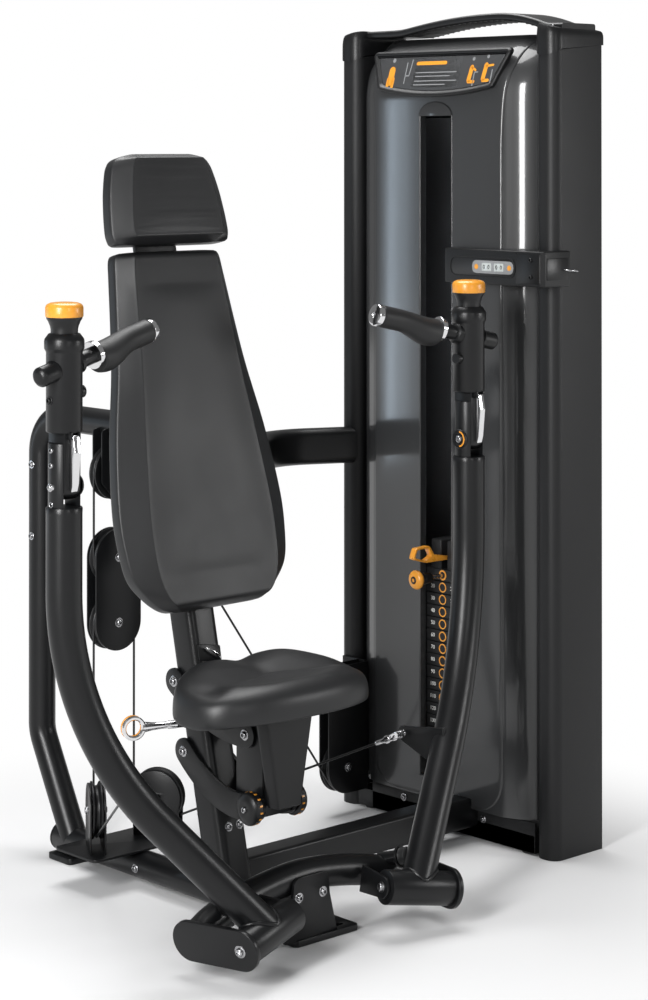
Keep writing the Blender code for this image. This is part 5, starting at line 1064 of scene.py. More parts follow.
def padRings(outline, face, low, back, thickness, taper):
    # Flat rear, upright side, broad bevel to a flat face; creases at the bevel's two edges
    top = outline[-1][0]
    rings = []
    count = 84
    for k in range(count + 1):
        t = 0.5 - 0.5 * math.cos(math.pi * k / count)
        rise = top * (0.45 * t + 0.55 * k / count)
        foot, crest = min(1.0, rise / taper[0]), min(1.0, (top - rise) / taper[1])
        deep = thickness * (0.52 + 0.48 * min(foot, crest))
        wide, flat = curveAt(outline, rise), curveAt(face, rise)
        wide = wide * (0.965 + 0.035 * min(1.0, min(rise, top - rise) / 0.006) ** 0.5)
        side = thickness * 0.545
        right = [(wide * 0.80, 0.0), (wide * 0.90, 0.0006), (wide - 0.0075, 0.0018), (wide - 0.0034, 0.0045),
                 (wide - 0.0014, 0.0090), (wide - 0.0005, 0.0150), (wide, side * 0.62), (wide, side * 0.80),
                 (wide - 0.0002, side - 0.0030), (wide - 0.0008, side - 0.0008), (wide - 0.0024, side + 0.0012)]
        right += [(wide - 0.0024 + (flat + 0.0024 - wide) * a, side + 0.0012 + (deep - 0.0012 - side) * a)
                  for a in (0.08, 0.2, 0.4, 0.6, 0.8, 0.92)]
        right += [(flat, deep + 0.0003), (flat - 0.0016, deep + 0.0006), (flat - 0.005, deep)]
        right += [((flat - 0.005) * a, deep + 0.0010 * (1 - a * a)) for a in (0.92, 0.8, 0.66, 0.5, 0.34, 0.17, 0.0)]
        right = [(x, min(y, deep + 0.001)) for x, y in right]
        loop = right + [(-x, y) for x, y in reversed(right[:-1])]
        rings.append([lean(x, back - y, low + rise) for x, y in loop])
    return rings


def padHeld(ringNo, spot, last):
    place = min(spot, 52 - spot)
    return place <= 11 or 16 <= place <= 19 or ringNo <= 12 or ringNo >= last - 12


backBack = boardFront - gap
headBack = boardFront - padSet["headForward"] - gap
padLook = dict(pressure=3.0, most=0.0025, fill=0.9, held=padHeld)
backRings = padRings(padSet["back"], padSet["backFace"], padSet["backLow"], backBack, padSet["backT"] - 0.001,
                     (0.013, 0.011))
cushion("backrestCushion", backRings, padLook, "frame", ("backrest_pad",))
headRings = padRings(padSet["head"], padSet["headFace"], padSet["headLow"], headBack, padSet["headT"] - 0.001,
                     (0.013, 0.014))
cushion("headrestCushion", headRings, padLook, "frame", ("headrest_pad",))


def boardPart(half, low, high, corner, depths):
    flat = roundRect(-half, half, low, high, corner)
    return soften(loft([[lean(a, deep, b) for a, b in flat] for deep in depths]), 0.0012, 2, 50)


backLow, stemTop = padSet["backLow"], padSet["headLow"] + padSet["plateH"]
boardFaces = (boardRear - 0.0004, boardFront + 0.0004)
headFaces = (boardFront + 0.004, boardFront - padSet["headForward"])
board = [boardPart(0.105, backLow + 0.05, backLow + 0.70, 0.018, boardFaces),
         boardPart(0.055, backLow + 0.66, stemTop, 0.018, boardFaces),
         boardPart(0.085, padSet["headLow"] + 0.025, stemTop + 0.025, 0.015, headFaces)]
piece("backBoard", join(*board), "black_plastic", stands=("back_board",))

heads = [bolt(lean(x, boardRear, u), columnBack, 0.0060) for x in (-0.080, 0.080) for u in (0.68, 0.92, 1.18)]
heads += [bolt(lean(x, boardRear, padSet["headLow"] + 0.085), columnBack, 0.0056) for x in (-0.030, 0.030)]
piece("boardScrews", join(*heads), "zinc")


def saddleRings():
    # Thick upright rim, crest along the front, top rising to two rear lobes with a crease between them
    middle, halfL = (seat["front"] + seat["rear"]) / 2, (seat["rear"] - seat["front"]) / 2
    rim = ((0.50, 0.0, 0.0), (0.80, 0.0, 0.0), (0.955, 0.0, 0.0), (0.978, 0.010, 0.010), (0.990, 0.040, 0.040),
           (0.998, 0.10, 0.10), (1.0, 0.18, 0.18), (1.0, 0.30, 0.28), (0.997, 0.45, 0.40), (0.990, 0.60, 0.50),
           (0.978, 0.73, 0.60), (0.960, 0.84, 0.69), (0.935, 0.925, 0.77), (0.905, 0.98, 0.835), (0.87, 1.015, 0.90),
           (0.82, 1.04, 0.96), (0.76, 1.055, 1.005), (0.68, 1.07, 1.03), (0.59, 1.08, 1.0), (0.49, 1.085, 0.975),
           (0.38, 1.085, 0.98), (0.26, 1.085, 1.0), (0.14, 1.085, 1.03), (0.04, 1.085, 1.05))
    rings = []
    for scale, height, ledge in rim:
        loop = []
        for i in range(120):
            c, s = math.cos(2 * math.pi * i / 120), math.sin(2 * math.pi * i / 120)
            x = math.copysign(abs(c) ** (2 / seat["round"]), c) * scale
            y = math.copysign(abs(s) ** (2 / seat["round"]), s) * scale
            lobe = 0.008 * math.exp(-((abs(x) - 0.5) / 0.28) ** 2) - 0.008 * math.exp(-(x / 0.12) ** 2)
            rise = ((y + 1) / 2) ** 1.6
            ahead = max(0.0, min(1.0, (-y / max(scale, 0.05) - 0.05) / 0.55))
            ahead *= ahead * (3 - 2 * ahead)
            top = seat["padT"] + (seat["kick"] + lobe) * rise
            droop = 0.013 * abs(x) ** 4 * max(0.0, 1 - y * y) * max(0.0, 1 - height)
            front = ledge * (seat["padT"] + 0.018)
            dish = -0.005 * max(0.0, 1 - (x / 0.75) ** 2) * max(0.0, 1 - ((y + 0.05) / 0.5) ** 2)
            lift = (top * height + (dish if height > 0.9 else 0.0)) * (1 - ahead) + front * ahead
            loop.append(Vector((seat["halfW"] * x, middle + halfL * y, under + 0.0004 + lift * 0.995 - droop)))
        rings.append(loop)
    return rings


seatLook = dict(padLook, held=lambda ringNo, spot, last: ringNo < 8)
cushion("seatCushion", saddleRings(), seatLook, "seat", ("seat_pad",))
print("cushions done")

# Weight tower: columns, crown, base
nose = tower["nose"]
halfPost = tower["postW"] / 2
planLine = arc((nose, halfPost - nose), nose, 90, 180, 20) + arc((nose, nose - halfPost), nose, 180, 270, 20)
planLine += arc((tower["depth"] - 0.003, -halfPost + 0.003), 0.003, -90, 0, 4)
planLine += arc((tower["depth"] - 0.003, halfPost - 0.003), 0.003, 0, 90, 4)
frontPost = tower["y"] + halfPost
for name, node, y in (("towerFrontPost", "tower_front_column", frontPost),
                      ("towerRearPost", "tower_rear_column", rearPost)):
    shell = loft([[Vector((tower["x"] + a, y + b, z)) for a, b in planLine]
                  for z in (0.0, 0.4, 0.8, 1.2, 1.5, tower["height"])])
    piece(name, shell, "column_coat", stands=(node,))
capTop = tower["height"] + gap + tower["capH"] - 0.002
span = tower["width"] / 2 - 0.006
archLine = []


def archRise(k):
    fall = k - tower["archPeak"]
    rise = tower["archRise"] - (0.036 if fall > 0 else 0.144) * fall * fall
    return (rise + math.hypot(rise, 0.004)) / 2


for i in range(81):
    k = -1 + 2 * i / 80
    archLine.append(Vector((tower["archX"] + tower["archW"] / 2, towerMid + span * k,
                            capTop + tower["archT"] / 2 - 0.002 + archRise(k))))
arch = sweep(archLine, roundedBox(tower["archW"], tower["archT"], 0.006), alongX)
grow = 1 + 2 * tower["lip"] / tower["postW"]
capShells = [arch]
capLift = tower["archT"] - 0.002
for y, ahead in ((frontPost, 1), (rearPost, -1)):
    rings = []
    for part, scale in ((-0.001, grow - 0.02), (0.0, grow), (0.5, grow), (0.66, grow * 0.995), (0.80, grow * 0.975),
                        (0.92, grow * 0.94), (1.0, grow * 0.88)):
        loop = []
        for a, b in planLine:
            skirt = 0.024 * max(0.0, 1 - a / 0.060) ** 1.5
            inward = max(0.0, ahead * -b / halfPost * 0.5 + 0.5)
            full = tower["capH"] + capLift - 0.014 * inward - 0.004 * (a / tower["depth"])
            z = tower["height"] + gap - skirt + (full + skirt) * max(0.0, part) + (0.0006 if part < 0 else 0)
            loop.append(Vector((tower["x"] + tower["depth"] / 2 + (a - tower["depth"] / 2) * (1 + (scale - 1) * 0.4),
                                y + b * scale, z)))
        rings.append(loop)
    capShells.append(loft(rings))
piece("towerCrown", join(*capShells), "black_plastic", stands=("tower_crown",))
ribs = []
for i in range(27):
    k = -0.82 + 1.3 * i / 26
    z = capTop - 0.002 + archRise(k)
    ribs.append(block((tower["archX"] + 0.006, towerMid + span * k - 0.0022, z - 0.0016),
                      (tower["archX"] + tower["archW"] - 0.006, towerMid + span * k + 0.0022, z + 0.004), 0.0008, 1))
piece("archRibs", join(*ribs), "rubber")
capScrew = bolt((tower["x"] + 0.024, frontPost - 0.006, tower["height"] + gap + tower["capH"] + capLift - 0.0085), up,
                0.0036, False)
piece("capScrews", capScrew, "zinc")
baseFront = tower["x"] + tower["lip"]
pan = block((baseFront, innerLow + gap, 0.004), (baseFront + 0.103, innerHigh - gap, 0.045), 0.0014)
lip = block((baseFront, innerLow + gap, 0.004), (baseFront + 0.008, 0.576, 0.072), 0.0012)
driveX, driveY, driveZ = 0.842, 0.598, 0.112
stands = [plate([(-0.020, 0.043), (0.012, 0.043), (0.016, driveZ)] + arc((0, driveZ), 0.016, 30, 180, 14),
                (driveX, driveY + off, 0), alongX, up, -0.004, 0.0006, 1) for off in (0.0135, -0.0175)]
axle = rod((driveX, driveY - 0.0205, driveZ), (driveX, driveY + 0.0205, driveZ), 0.007, 24)
piece("towerBase", join(pan, lip, axle, *stands), "column_coat", stands=("tower_base",))
glides = [turned(((0.0, 0.019), (0.001, 0.020), (0.003, 0.020), (0.004, 0.0185)), (baseFront + dx, y, 0.0), up,
                 count=40) for dx in (0.022, 0.085) for y in (innerLow + 0.032, innerHigh - 0.032)]
piece("baseGlides", join(*glides), "rubber")
screws = [bolt((baseFront, y, 0.050), -alongX, 0.0070) for y in (0.215, 0.470)]
piece("towerScrews", join(*screws), "zinc")
print("tower frame done")

# Shroud, centre panel, slot trim, placard
shroud = dict(x=0.735, thick=0.004, low=0.074, bendZ=1.660, top=1.826, roll=0.090, slotHalf=0.0515, slotLow=0.122,
              slotTop=1.645, panelHalf=0.205, panelLift=0.0030)
slotHalf, slotLow, slotTop = shroud["slotHalf"], shroud["slotLow"], shroud["slotTop"]
shroudHalf = (innerHigh - innerLow) / 2 - gap
hollow = [(0, 0), (0.35, 0.0005), (0.66, 0.0014), (0.73, 0.0030), (0.78, 0.0085), (0.86, 0.0180), (0.94, 0.0325),
          (1.0, 0.052)]


def shroudAt(dy, z, lift=0.0):
    k = max(0.0, (z - shroud["bendZ"]) / (shroud["top"] - shroud["bendZ"]))
    deep = curveAt(hollow, min(1.0, abs(dy) / shroudHalf))
    narrow = 1 - 0.0036 / shroudHalf * max(0.0, min(1.0, (z - 1.760) / 0.025))
    return Vector((shroud["x"] + shroud["roll"] * k ** 3 + deep - lift, towerMid + dy * narrow, z))


notch = (base["beamY"] - towerMid - base["beamW"] / 2 - 0.001, base["beamY"] - towerMid + base["beamW"] / 2 + 0.001,
         base["beamLow"] + base["beamH"] + 0.001)
cols = knots(-shroudHalf, shroudHalf, 84, -slotHalf, slotHalf, notch[0], notch[1])
rows = sorted(set(knots(shroud["low"], shroud["bendZ"], 24, notch[2], slotLow, slotTop)
                  + knots(shroud["bendZ"], shroud["top"], 22)))


def inShroud(dy, z):
    inSlot = abs(dy) < slotHalf and slotLow < z < slotTop
    inNotch = notch[0] < dy < notch[1] and z < notch[2]
    return not inSlot and not inNotch


skin = gridSheet(cols, rows, shroudAt, lambda c, r: shroudAt(c, r, -shroud["thick"]), inShroud)
piece("frontShroud", skin, "shroud_plastic", stands=("front_shroud",), crease=50)


def panelWide(z):
    low, corner = shroud["low"] + 0.003, 0.075
    wide = shroud["panelHalf"]
    if z < low + corner:
        wide -= corner - math.sqrt(max(0.0, corner ** 2 - (low + corner - z) ** 2))
    return wide + 0.030 * max(0.0, (z - 1.56) / 0.24) ** 2


def panelAt(u, z, lift):
    split = 0.25
    wide = panelWide(z)
    side = 1 if u > 0 else -1
    dy = u / split * slotHalf
    if abs(u) > split:
        dy = side * (slotHalf + (abs(u) - split) / (1 - split) * (wide - slotHalf))
    edge = wide - abs(dy)
    fall = max(0.0, 1 - edge / 0.004)
    foot = max(0.0, 1 - (z - shroud["low"] - 0.003) / 0.004)
    return shroudAt(dy, z, lift * (1 - 0.85 * min(1.0, fall * fall + foot * foot)))


panelCols = sorted(set(knots(-1, 1, 56, -0.25, 0.25) + [-0.975, 0.975, -0.992, 0.992]))
panelRows = sorted(set(knots(shroud["low"] + 0.003, 0.16, 16, slotLow, notch[2]) + knots(0.16, 1.64, 24)
                       + knots(1.645, shroud["top"] - 0.004, 22)))


def inPanel(u, z):
    dy = panelAt(u, z, 0).y - towerMid
    inSlot = abs(u) < 0.25 and slotLow < z < slotTop
    return not inSlot and not (notch[0] - 0.004 < dy < notch[1] + 0.004 and z < notch[2])


panel = gridSheet(panelCols, panelRows, lambda u, z: panelAt(u, z, shroud["panelLift"]),
                  lambda u, z: panelAt(u, z, -0.001), inPanel)
piece("shroudPanel", panel, "shroud_plastic", crease=50)
slotX = shroud["x"] - 0.0036
trims = []
for k in (-1, 1):
    edge = towerMid + k * slotHalf
    trims.append(block((slotX, edge - 0.0026, slotLow), (shroud["x"] + 0.0165, edge + 0.0026, slotTop), 0.0022, 4))
trims.append(block((slotX, towerMid - slotHalf - 0.0026, slotLow - 0.004),
                   (shroud["x"] + 0.0165, towerMid + slotHalf + 0.0026, slotLow), 0.0012))
piece("slotTrim", join(*trims), "shroud_plastic")
hoodArch = [(slotHalf * 1.02 * math.cos(t), 0.032 * math.sin(t)) for t in [math.pi * k / 32 for k in range(33)]]
hoodFace = lambda reach, lift: [Vector((shroud["x"] - lift, towerMid + a * reach, slotTop - 0.002 + b * reach))
                                for a, b in hoodArch]
hoodShell = loft([hoodFace(1.0, -0.001), hoodFace(1.0, 0.0040), hoodFace(0.985, 0.0052), hoodFace(0.94, 0.0058)])
piece("slotHood", hoodShell, "shroud_plastic")
# Painted shadow: a thin near-black strip round the hood's edge, standing in for the shade in the gap under the hood
hoodShadowLine = sweep(hoodFace(1.018, 0.0033), roundedBox(0.0020, 0.0016, 0.0006, 3), alongX)
piece("hoodShadowLine", hoodShadowLine, "black_plastic")
rearX = tower["x"] + tower["depth"] - shroud["thick"] - 0.0005
rearCols = knots(-shroudHalf, shroudHalf, 40)
rearRows = knots(shroud["low"], tower["height"] - 0.010, 40)


def rearAt(dy, z, lift):
    edge = min(shroudHalf - abs(dy), z - shroud["low"], tower["height"] - 0.010 - z)
    press = 0.0014 * max(0.0, min(1.0, (edge - 0.045) / 0.012))
    return Vector((rearX + shroud["thick"] * lift - press * lift, towerMid + dy, z))


rearSkin = gridSheet(rearCols, rearRows, lambda c, r: rearAt(c, r, 1.0), lambda c, r: rearAt(c, r, 0.0),
                     lambda c, r: True)
piece("rearShroud", rearSkin, "shroud_plastic", stands=("rear_shroud",))
liner = block((rearX - 0.003, towerMid - 0.24, 0.60), (rearX - gap, towerMid + 0.24, 1.64), 0.0008)
piece("rearLiner", liner, "liner_grey")
screws = [bolt((rearX + shroud["thick"], towerMid + y, z), alongX, 0.0050, False) for y in (-0.26, 0.26)
          for z in (0.12, 0.66, 1.22, 1.74)]
piece("rearShroudScrews", join(*screws), "zinc")
placard = dict(rake=17.0, low=slotTop + 0.042, high=tower["height"] - 0.004,
               bow=[(0.184 * k / 6, 0.17 * (k / 6) ** 2) for k in range(-6, 7)],
               brow=[(0.222, 0.93), (0.212, 1.0), (-0.212, 1.0), (-0.222, 0.93)])
placardLow, placardHigh = placard["low"], placard["high"] - placard["low"]
tilt = math.tan(math.radians(placard["rake"]))
touch = shroud["bendZ"] + (shroud["top"] - shroud["bendZ"]) * 0.36
seatX = shroud["x"] + shroud["roll"] * 0.36 ** 3 - gap - (touch - placardLow) * tilt
corners = [(y, placardLow + placardHigh * v) for y, v in placard["bow"] + placard["brow"]]


def placardRing(shrink, forward):
    flat = roundPoly(inset(corners, shrink) if shrink else corners, 0.014, 6)
    return [Vector((seatX + (z - placardLow) * tilt - forward, towerMid + y, z)) for y, z in flat]


tray = loft([placardRing(0.0, 0.0), placardRing(0.0, 0.006), placardRing(0.0012, 0.0100), placardRing(0.0036, 0.0120),
             placardRing(0.0075, 0.0120), placardRing(0.0095, 0.0108), placardRing(0.0120, 0.0062),
             placardRing(0.0135, 0.0056)])
piece("placardTray", tray, "black_plastic", stands=("placard",))
piece("placardPanel", loft([placardRing(0.0150, 0.0050), placardRing(0.0150, 0.0064), placardRing(0.0158, 0.0068)]),
      "panel_print")


def onPlacard(points, lift):
    return [Vector((seatX + placardHigh * v * tilt - lift, towerMid - y, placardLow + placardHigh * v))
            for y, v in points]


def printed(points, rise=0.0004):
    # A flat printed shape on the placard, given across and up the panel
    return loft([onPlacard(points, 0.0066), onPlacard(points, 0.0066 + rise)])


def bar(y0, v0, y1, v1, wide):
    points = capsule((y0, v0 * placardHigh), (y1, v1 * placardHigh), wide, wide, 6)
    return printed([(y, v / placardHigh) for y, v in points])


def disc(y, v, radius):
    return printed([(y + a, v + b / placardHigh) for a, b in circle(radius, 20)])


field = printed([(-0.078, 0.20), (0.072, 0.20), (0.072, 0.86), (-0.078, 0.86)], 0.0002)
piece("placardField", field, "field_print")
lines = [bar(-0.070, v, y1, v, 0.0011) for v, y1 in ((0.52, 0.060), (0.44, 0.040), (0.34, 0.064), (0.26, 0.030))]
lines += [bar(-0.104, 0.30, -0.104, 0.74, 0.0014), bar(-0.104, 0.46, -0.092, 0.46, 0.0014),
          bar(-0.092, 0.46, -0.088, 0.80, 0.0014)]
lines += [bar(0.118, 0.22, 0.118, 0.50, 0.0014), bar(0.118, 0.50, 0.128, 0.50, 0.0014),
          bar(0.172, 0.26, 0.172, 0.54, 0.0014)]
piece("placardLines", join(*lines), "grey_print")
people = [bar(-0.150, 0.34, -0.150, 0.58, 0.0095), bar(-0.158, 0.24, -0.158, 0.40, 0.0045),
          bar(-0.142, 0.24, -0.142, 0.40, 0.0045)]
people += [bar(0.104, 0.34, 0.107, 0.60, 0.0060), bar(0.104, 0.30, 0.120, 0.30, 0.0038),
           bar(0.148, 0.36, 0.151, 0.64, 0.0060), bar(0.148, 0.32, 0.164, 0.32, 0.0038)]
people += [bar(0.107, 0.60, 0.120, 0.54, 0.0026), bar(0.151, 0.62, 0.172, 0.64, 0.0026)]
people.append(bar(-0.070, 0.72, 0.020, 0.72, 0.0042))
piece("placardPeople", join(*people), "orange_plastic")
heads = [disc(-0.150, 0.80, 0.0052), disc(0.108, 0.78, 0.0042), disc(0.152, 0.82, 0.0042)]
piece("placardHeads", join(*heads), "grey_print")
print("shroud done")

# Weight stack
stack = dict(x=0.755, depth=0.120, width=0.340, pitch=0.0282, count=16, rodR=0.0125, spread=0.130, stemR=0.0135,
             cushionH=0.0742, hood=0.066)
stackX, pitch = stack["x"], stack["pitch"]
stackMid = stackX + stack["depth"] / 2
stackLow = 0.045 + gap + stack["cushionH"] + gap
headZ = stackLow + stack["count"] * pitch
pinZ = headZ + pitch / 2
plates, rings, numbers = [], [], []


def ironPlate(low, depth=0.0022):
    bm = block((stackX, towerMid - stack["width"] / 2, low + 0.0002),
               (stackX + stack["depth"], towerMid + stack["width"] / 2, low + pitch - 0.0010), 0)
    return soften(bm, depth, 3)


def figure(text, size, spot):
    curve = bpy.data.curves.new("figure", "FONT")
    curve.body = text
    curve.size = size
    curve.align_x, curve.align_y = "CENTER", "CENTER"
    curve.extrude = 0.0002
    curve.resolution_u = 4
    temp = bpy.data.objects.new("figure", curve)
    bpy.context.scene.collection.objects.link(temp)
    bpy.context.view_layer.update()
    mesh = bpy.data.meshes.new_from_object(temp.evaluated_get(bpy.context.evaluated_depsgraph_get()))
    bpy.data.objects.remove(temp, do_unlink=True)
    bpy.data.curves.remove(curve)
    bm = bmesh.new()
    bm.from_mesh(mesh)
    bpy.data.meshes.remove(mesh)
    for vert in bm.verts:
        x, y, z = vert.co
        vert.co = Vector(spot) + Vector((-z, -x, y))
    return bm


for i in range(stack["count"]):
    low = stackLow + i * pitch
    plates.append(ironPlate(low))
    middle = low + pitch / 2
    rings.append(ring((stackX + 0.002, towerMid, middle), (stackX - 0.0008, towerMid, middle), 0.0116,
                      0.0086, 36, 0.0003))
    for k in (-1, 1):
        numbers.append(figure(str((stack["count"] - i) * 10 + 10), 0.0125,
                              (stackX - 0.0003, towerMid + k * 0.0310, middle)))
piece("weightPlates", join(*plates), "cast_iron", stands=("weight_stack",))
headRing = ring((stackX + 0.002, towerMid, pinZ), (stackX - 0.0008, towerMid, pinZ), 0.0118, 0.0078, 36, 0.0003)
piece("plateRings", join(*rings), "orange_plastic")
piece("plateNumbers", join(*numbers), "white_print")
piece("headRing", headRing, "orange_plastic", "weight_carriage")
lever = dict(width=0.016, x=stackX + 0.022, z=headZ + pitch + 0.030)
hoodTop = headZ + pitch + stack["hood"]
hoodLow = headZ + pitch - 0.004
hoodX0, hoodX1 = stackX + 0.004, stackX + stack["depth"] - 0.012
hood = [block((hoodX0, towerMid - 0.042, hoodLow), (hoodX1, towerMid - 0.0087, hoodTop), 0.0045, 3),
        block((hoodX0, towerMid + 0.0087, hoodLow), (hoodX1, towerMid + 0.042, hoodTop), 0.0045, 3),
        block((hoodX0 + 0.040, towerMid - 0.0150, hoodLow),
              (hoodX1 - 0.001, towerMid + 0.0150, hoodTop - 0.0006), 0.002)]
stem = rod((stackMid, towerMid, stackLow + 0.004), (stackMid, towerMid, headZ + pitch), stack["stemR"])
piece("headPlate", join(ironPlate(headZ), stem, *hood), "cast_iron", "weight_carriage", ("head_plate",))
rodFoot = 0.0455
rail = [rod((stackMid, towerMid + k * stack["spread"], rodFoot), (stackMid, towerMid + k * stack["spread"], 1.662),
            stack["rodR"], 40) for k in (-1, 1)]
barX = stackMid - 0.018
rail.append(block((barX, innerLow + gap, 1.660), (barX + 0.062, innerHigh - gap, 1.688), 0.0012))
piece("guideRods", join(*rail), "bright_steel")
cushions = []
for k in (-1, 1):
    spot = (stackMid, towerMid + k * stack["spread"], rodFoot)
    profile = [(0, 0.0285), (0.002, 0.030)] + [(0.004 + 0.0066 * i, 0.030 if i % 2 else 0.0275) for i in range(10)]
    profile += [(stack["cushionH"] - 0.003, 0.030), (stack["cushionH"] - 0.0005, 0.0285)]
    cushions.append(turned(profile, spot, up, count=40))
piece("stackCushions", join(*cushions), "rubber", stands=("stack_cushion",))
pinStart = shroud["x"] - 0.075
knob = turned(((0, 0.004), (0.0006, 0.010), (0.0022, 0.0162), (0.0050, 0.0200), (0.0085, 0.0218), (0.0125, 0.0214),
               (0.0160, 0.0190), (0.0185, 0.0158), (0.0196, 0.0140)), (pinStart, towerMid, pinZ), alongX, count=48)
piece("pinKnob", knob, "orange_plastic", "selector_pin", ("selector_pin",))
centre = turned(((0.0030, 0.0090), (0.0002, 0.0086), (-0.0012, 0.0066), (-0.0014, 0.0050), (0.0016, 0.0046)),
                (pinStart, towerMid, pinZ), alongX, count=24, hexFrom=3)
piece("pinCentre", centre, "black_plastic", "selector_pin")
barrel = turned(((0.0190, 0.0128), (0.0205, 0.0138), (0.0280, 0.0138), (0.0290, 0.0128), (0.0300, 0.0128),
                 (0.0310, 0.0135), (0.0500, 0.0128), (0.0530, 0.0112), (0.0550, 0.0070)), (pinStart, towerMid, pinZ),
                alongX, count=40)
piece("pinBarrel", barrel, "black_plastic", "selector_pin")
shank = turned(((0.0540, 0.0048), (stackMid + 0.0240 - pinStart, 0.0048), (stackMid + 0.0268 - pinStart, 0.0030)),
               (pinStart, towerMid, pinZ), alongX, count=24)
piece("pinShank", shank, "bright_steel", "selector_pin")
tip = shroud["x"] - 0.082
lx, lz, sx = lever["x"], lever["z"], shroud["x"]
outerLine = roundPoly([(lx + 0.008, lz - 0.008), (lx + 0.008, lz + 0.008), (sx - 0.014, lz + 0.008),
                       (sx - 0.030, lz + 0.030), (tip + 0.010, lz + 0.028), (tip, lz + 0.004),
                       (sx - 0.040, lz - 0.008)], 0.006)
holeLine = roundPoly([(sx - 0.022, lz + 0.0060), (sx - 0.0335, lz + 0.0255), (tip + 0.0130, lz + 0.0240),
                      (tip + 0.0055, lz + 0.0070), (sx - 0.041, lz - 0.0030)], 0.004)
leverPlate = soften(pierced(outerLine, holeLine, (0, towerMid + lever["width"] / 2, 0), alongX, up, lever["width"],
                            120), 0.0014, 2, 55)
piece("addonLever", leverPlate, "orange_plastic", "addon_lever", ("addon_lever",))
print("stack done")

# Rep counter
counter = dict(x=0.698, thick=0.032, y=0.287, z=1.304, high=0.078, wrap=0.016, buttons=(0.178, 0.078))
outer = tower["y"] - gap
backX = counter["x"] + counter["thick"]
low, high = counter["z"] - counter["high"] / 2, counter["z"] + counter["high"] / 2
cx, cy = counter["x"], counter["y"]
wrapY = outer - counter["wrap"]
planCounter = [(cx, cy - 0.010), (cx, wrapY + 0.008), (cx + 0.008, wrapY), (tower["x"] + 0.034, wrapY),
               (tower["x"] + 0.034, outer), (tower["x"] - gap, outer),
               (tower["x"] - gap, tower["y"] + tower["postW"] - 0.012), (backX, tower["y"] + tower["postW"] - 0.012),
               (backX, cy), (cx + 0.010, cy)]
arms = plate(planCounter, (0, 0, low), alongX, alongY, high - low, 0.0030, 3)
piece("counterBar", arms, "black_plastic", stands=("rep_counter",))


def facePlate(y0, y1, z0, z1, corner, back, front, ease=0.0006):
    flat = roundRect(y0, y1, z0, z1, corner, 8)
    bm = loft([[Vector((x, y, z)) for y, z in flat] for x in (cx - back, cx - front)])
    return soften(bm, ease, 2, 50)


mid = counter["z"]
pill = lambda reach: roundRect(0.064 - reach, 0.258 + reach, mid - 0.020 - reach, mid + 0.020 + reach,
                               0.020 + reach, 12)
rim, hollowLine = pill(0.0035), pill(0.0)
rimSteps = ((cx + 0.001, hollowLine), (cx + 0.001, rim), (cx - 0.0014, rim), (cx - 0.0014, hollowLine))
rimRings = [[Vector((x, y, z)) for y, z in line] for x, line in rimSteps]
piece("counterRim", soften(loft(rimRings, closed=True), 0.0005, 2, 50), "black_plastic")
piece("counterWell", facePlate(0.064, 0.258, mid - 0.020, mid + 0.020, 0.020, -0.001, 0.0004, 0.0002), "coated_cable")
module = facePlate(0.066, 0.191, mid - 0.0145, mid + 0.0145, 0.0145, -0.001, 0.0013)
piece("counterModule", module, "grey_print")
windows = [facePlate(y0, y1, mid - 0.0090, mid + 0.0090, 0.0025, -0.0004, 0.0018, 0.0004)
           for y0, y1 in ((0.095, 0.124), (0.132, 0.161))]
piece("counterWindows", join(*windows), "display_glass")
digits = [figure("0", 0.013, (cx - 0.0019, y, mid)) for y in (0.116, 0.102, 0.154, 0.140)]
piece("counterDigits", join(*digits), "black_plastic")
for name, y in zip(("left", "right"), counter["buttons"]):
    button = turned(((0, 0.0058), (0.0004, 0.0064), (0.0062, 0.0064), (0.0070, 0.0058), (0.0073, 0.0030)),
                    (cx + 0.0055, y, mid), -alongX, count=32)
    body = "counter_" + name + "_button"
    piece(name + "CounterButton", button, "orange_plastic", body, (body,))
clamp = join(facePlate(-0.014, 0.056, mid - 0.034, mid + 0.034, 0.004, -0.001, 0.0034, 0.0012),
             block((cx + 0.012, wrapY - 0.0016, mid - 0.024), (tower["x"] + 0.026, wrapY + 0.004, mid + 0.024), 0.0014))
piece("counterClamp", clamp, "powder_coat")
holes = [bolt((cx - 0.0034, 0.012, mid + z), -alongX, 0.0056, False) for z in (-0.018, 0.020)]
piece("counterScrews", join(*holes), "black_plastic")
wire = smoothLine([(tower["x"] + 0.010, wrapY, mid - 0.002), (tower["x"] + 0.014, wrapY - 0.012, mid - 0.003),
                   (tower["x"] + 0.030, wrapY - 0.016, mid - 0.004), (tower["x"] + 0.046, wrapY - 0.010, mid - 0.006),
                   (tower["x"] + 0.050, outer - 0.004, mid - 0.008)], 32)
piece("counterHook", sweep(wire, circle(0.0022, 14), up), "zinc")
print("counter done")

# Pulleys and their brackets
sheave = dict(radius=0.060, pitch=0.055, thick=0.022, axle=0.007, cheekT=0.004, clear=0.0025, cableR=0.0025)
cheekAt = sheave["thick"] / 2 + sheave["clear"]
pitchR, axleR, guardR = sheave["pitch"], sheave["axle"], sheave["radius"] + 0.001
floatLow, floatHigh, upper = Vector((0, driveY, 0.5435)), Vector((0, driveY, 0.6850)), Vector((0, driveY, 0.868))
towerFront, towerRear = Vector((0.682, driveY, driveZ)), Vector((driveX, driveY, driveZ))
leg = Vector((pitchR, driveY, 0))
baseDir = Vector((lugPin.x - leg.x, lugPin.y - leg.y, 0)).normalized()
basePulley = Vector((leg.x, leg.y, 0.160)) + baseDir * pitchR
riser, drop = Vector((driveX + pitchR, driveY, 0)), Vector((stackMid, towerMid, 0))
topDir = (drop - riser).normalized()
topZ = 1.752
topRear = Vector((riser.x, riser.y, topZ)) + topDir * pitchR
topFront = Vector((drop.x, drop.y, topZ)) - topDir * pitchR
mirrorBase = Vector((-basePulley.x, basePulley.y, basePulley.z))
mirrorDir = Vector((-baseDir.x, baseDir.y, 0))


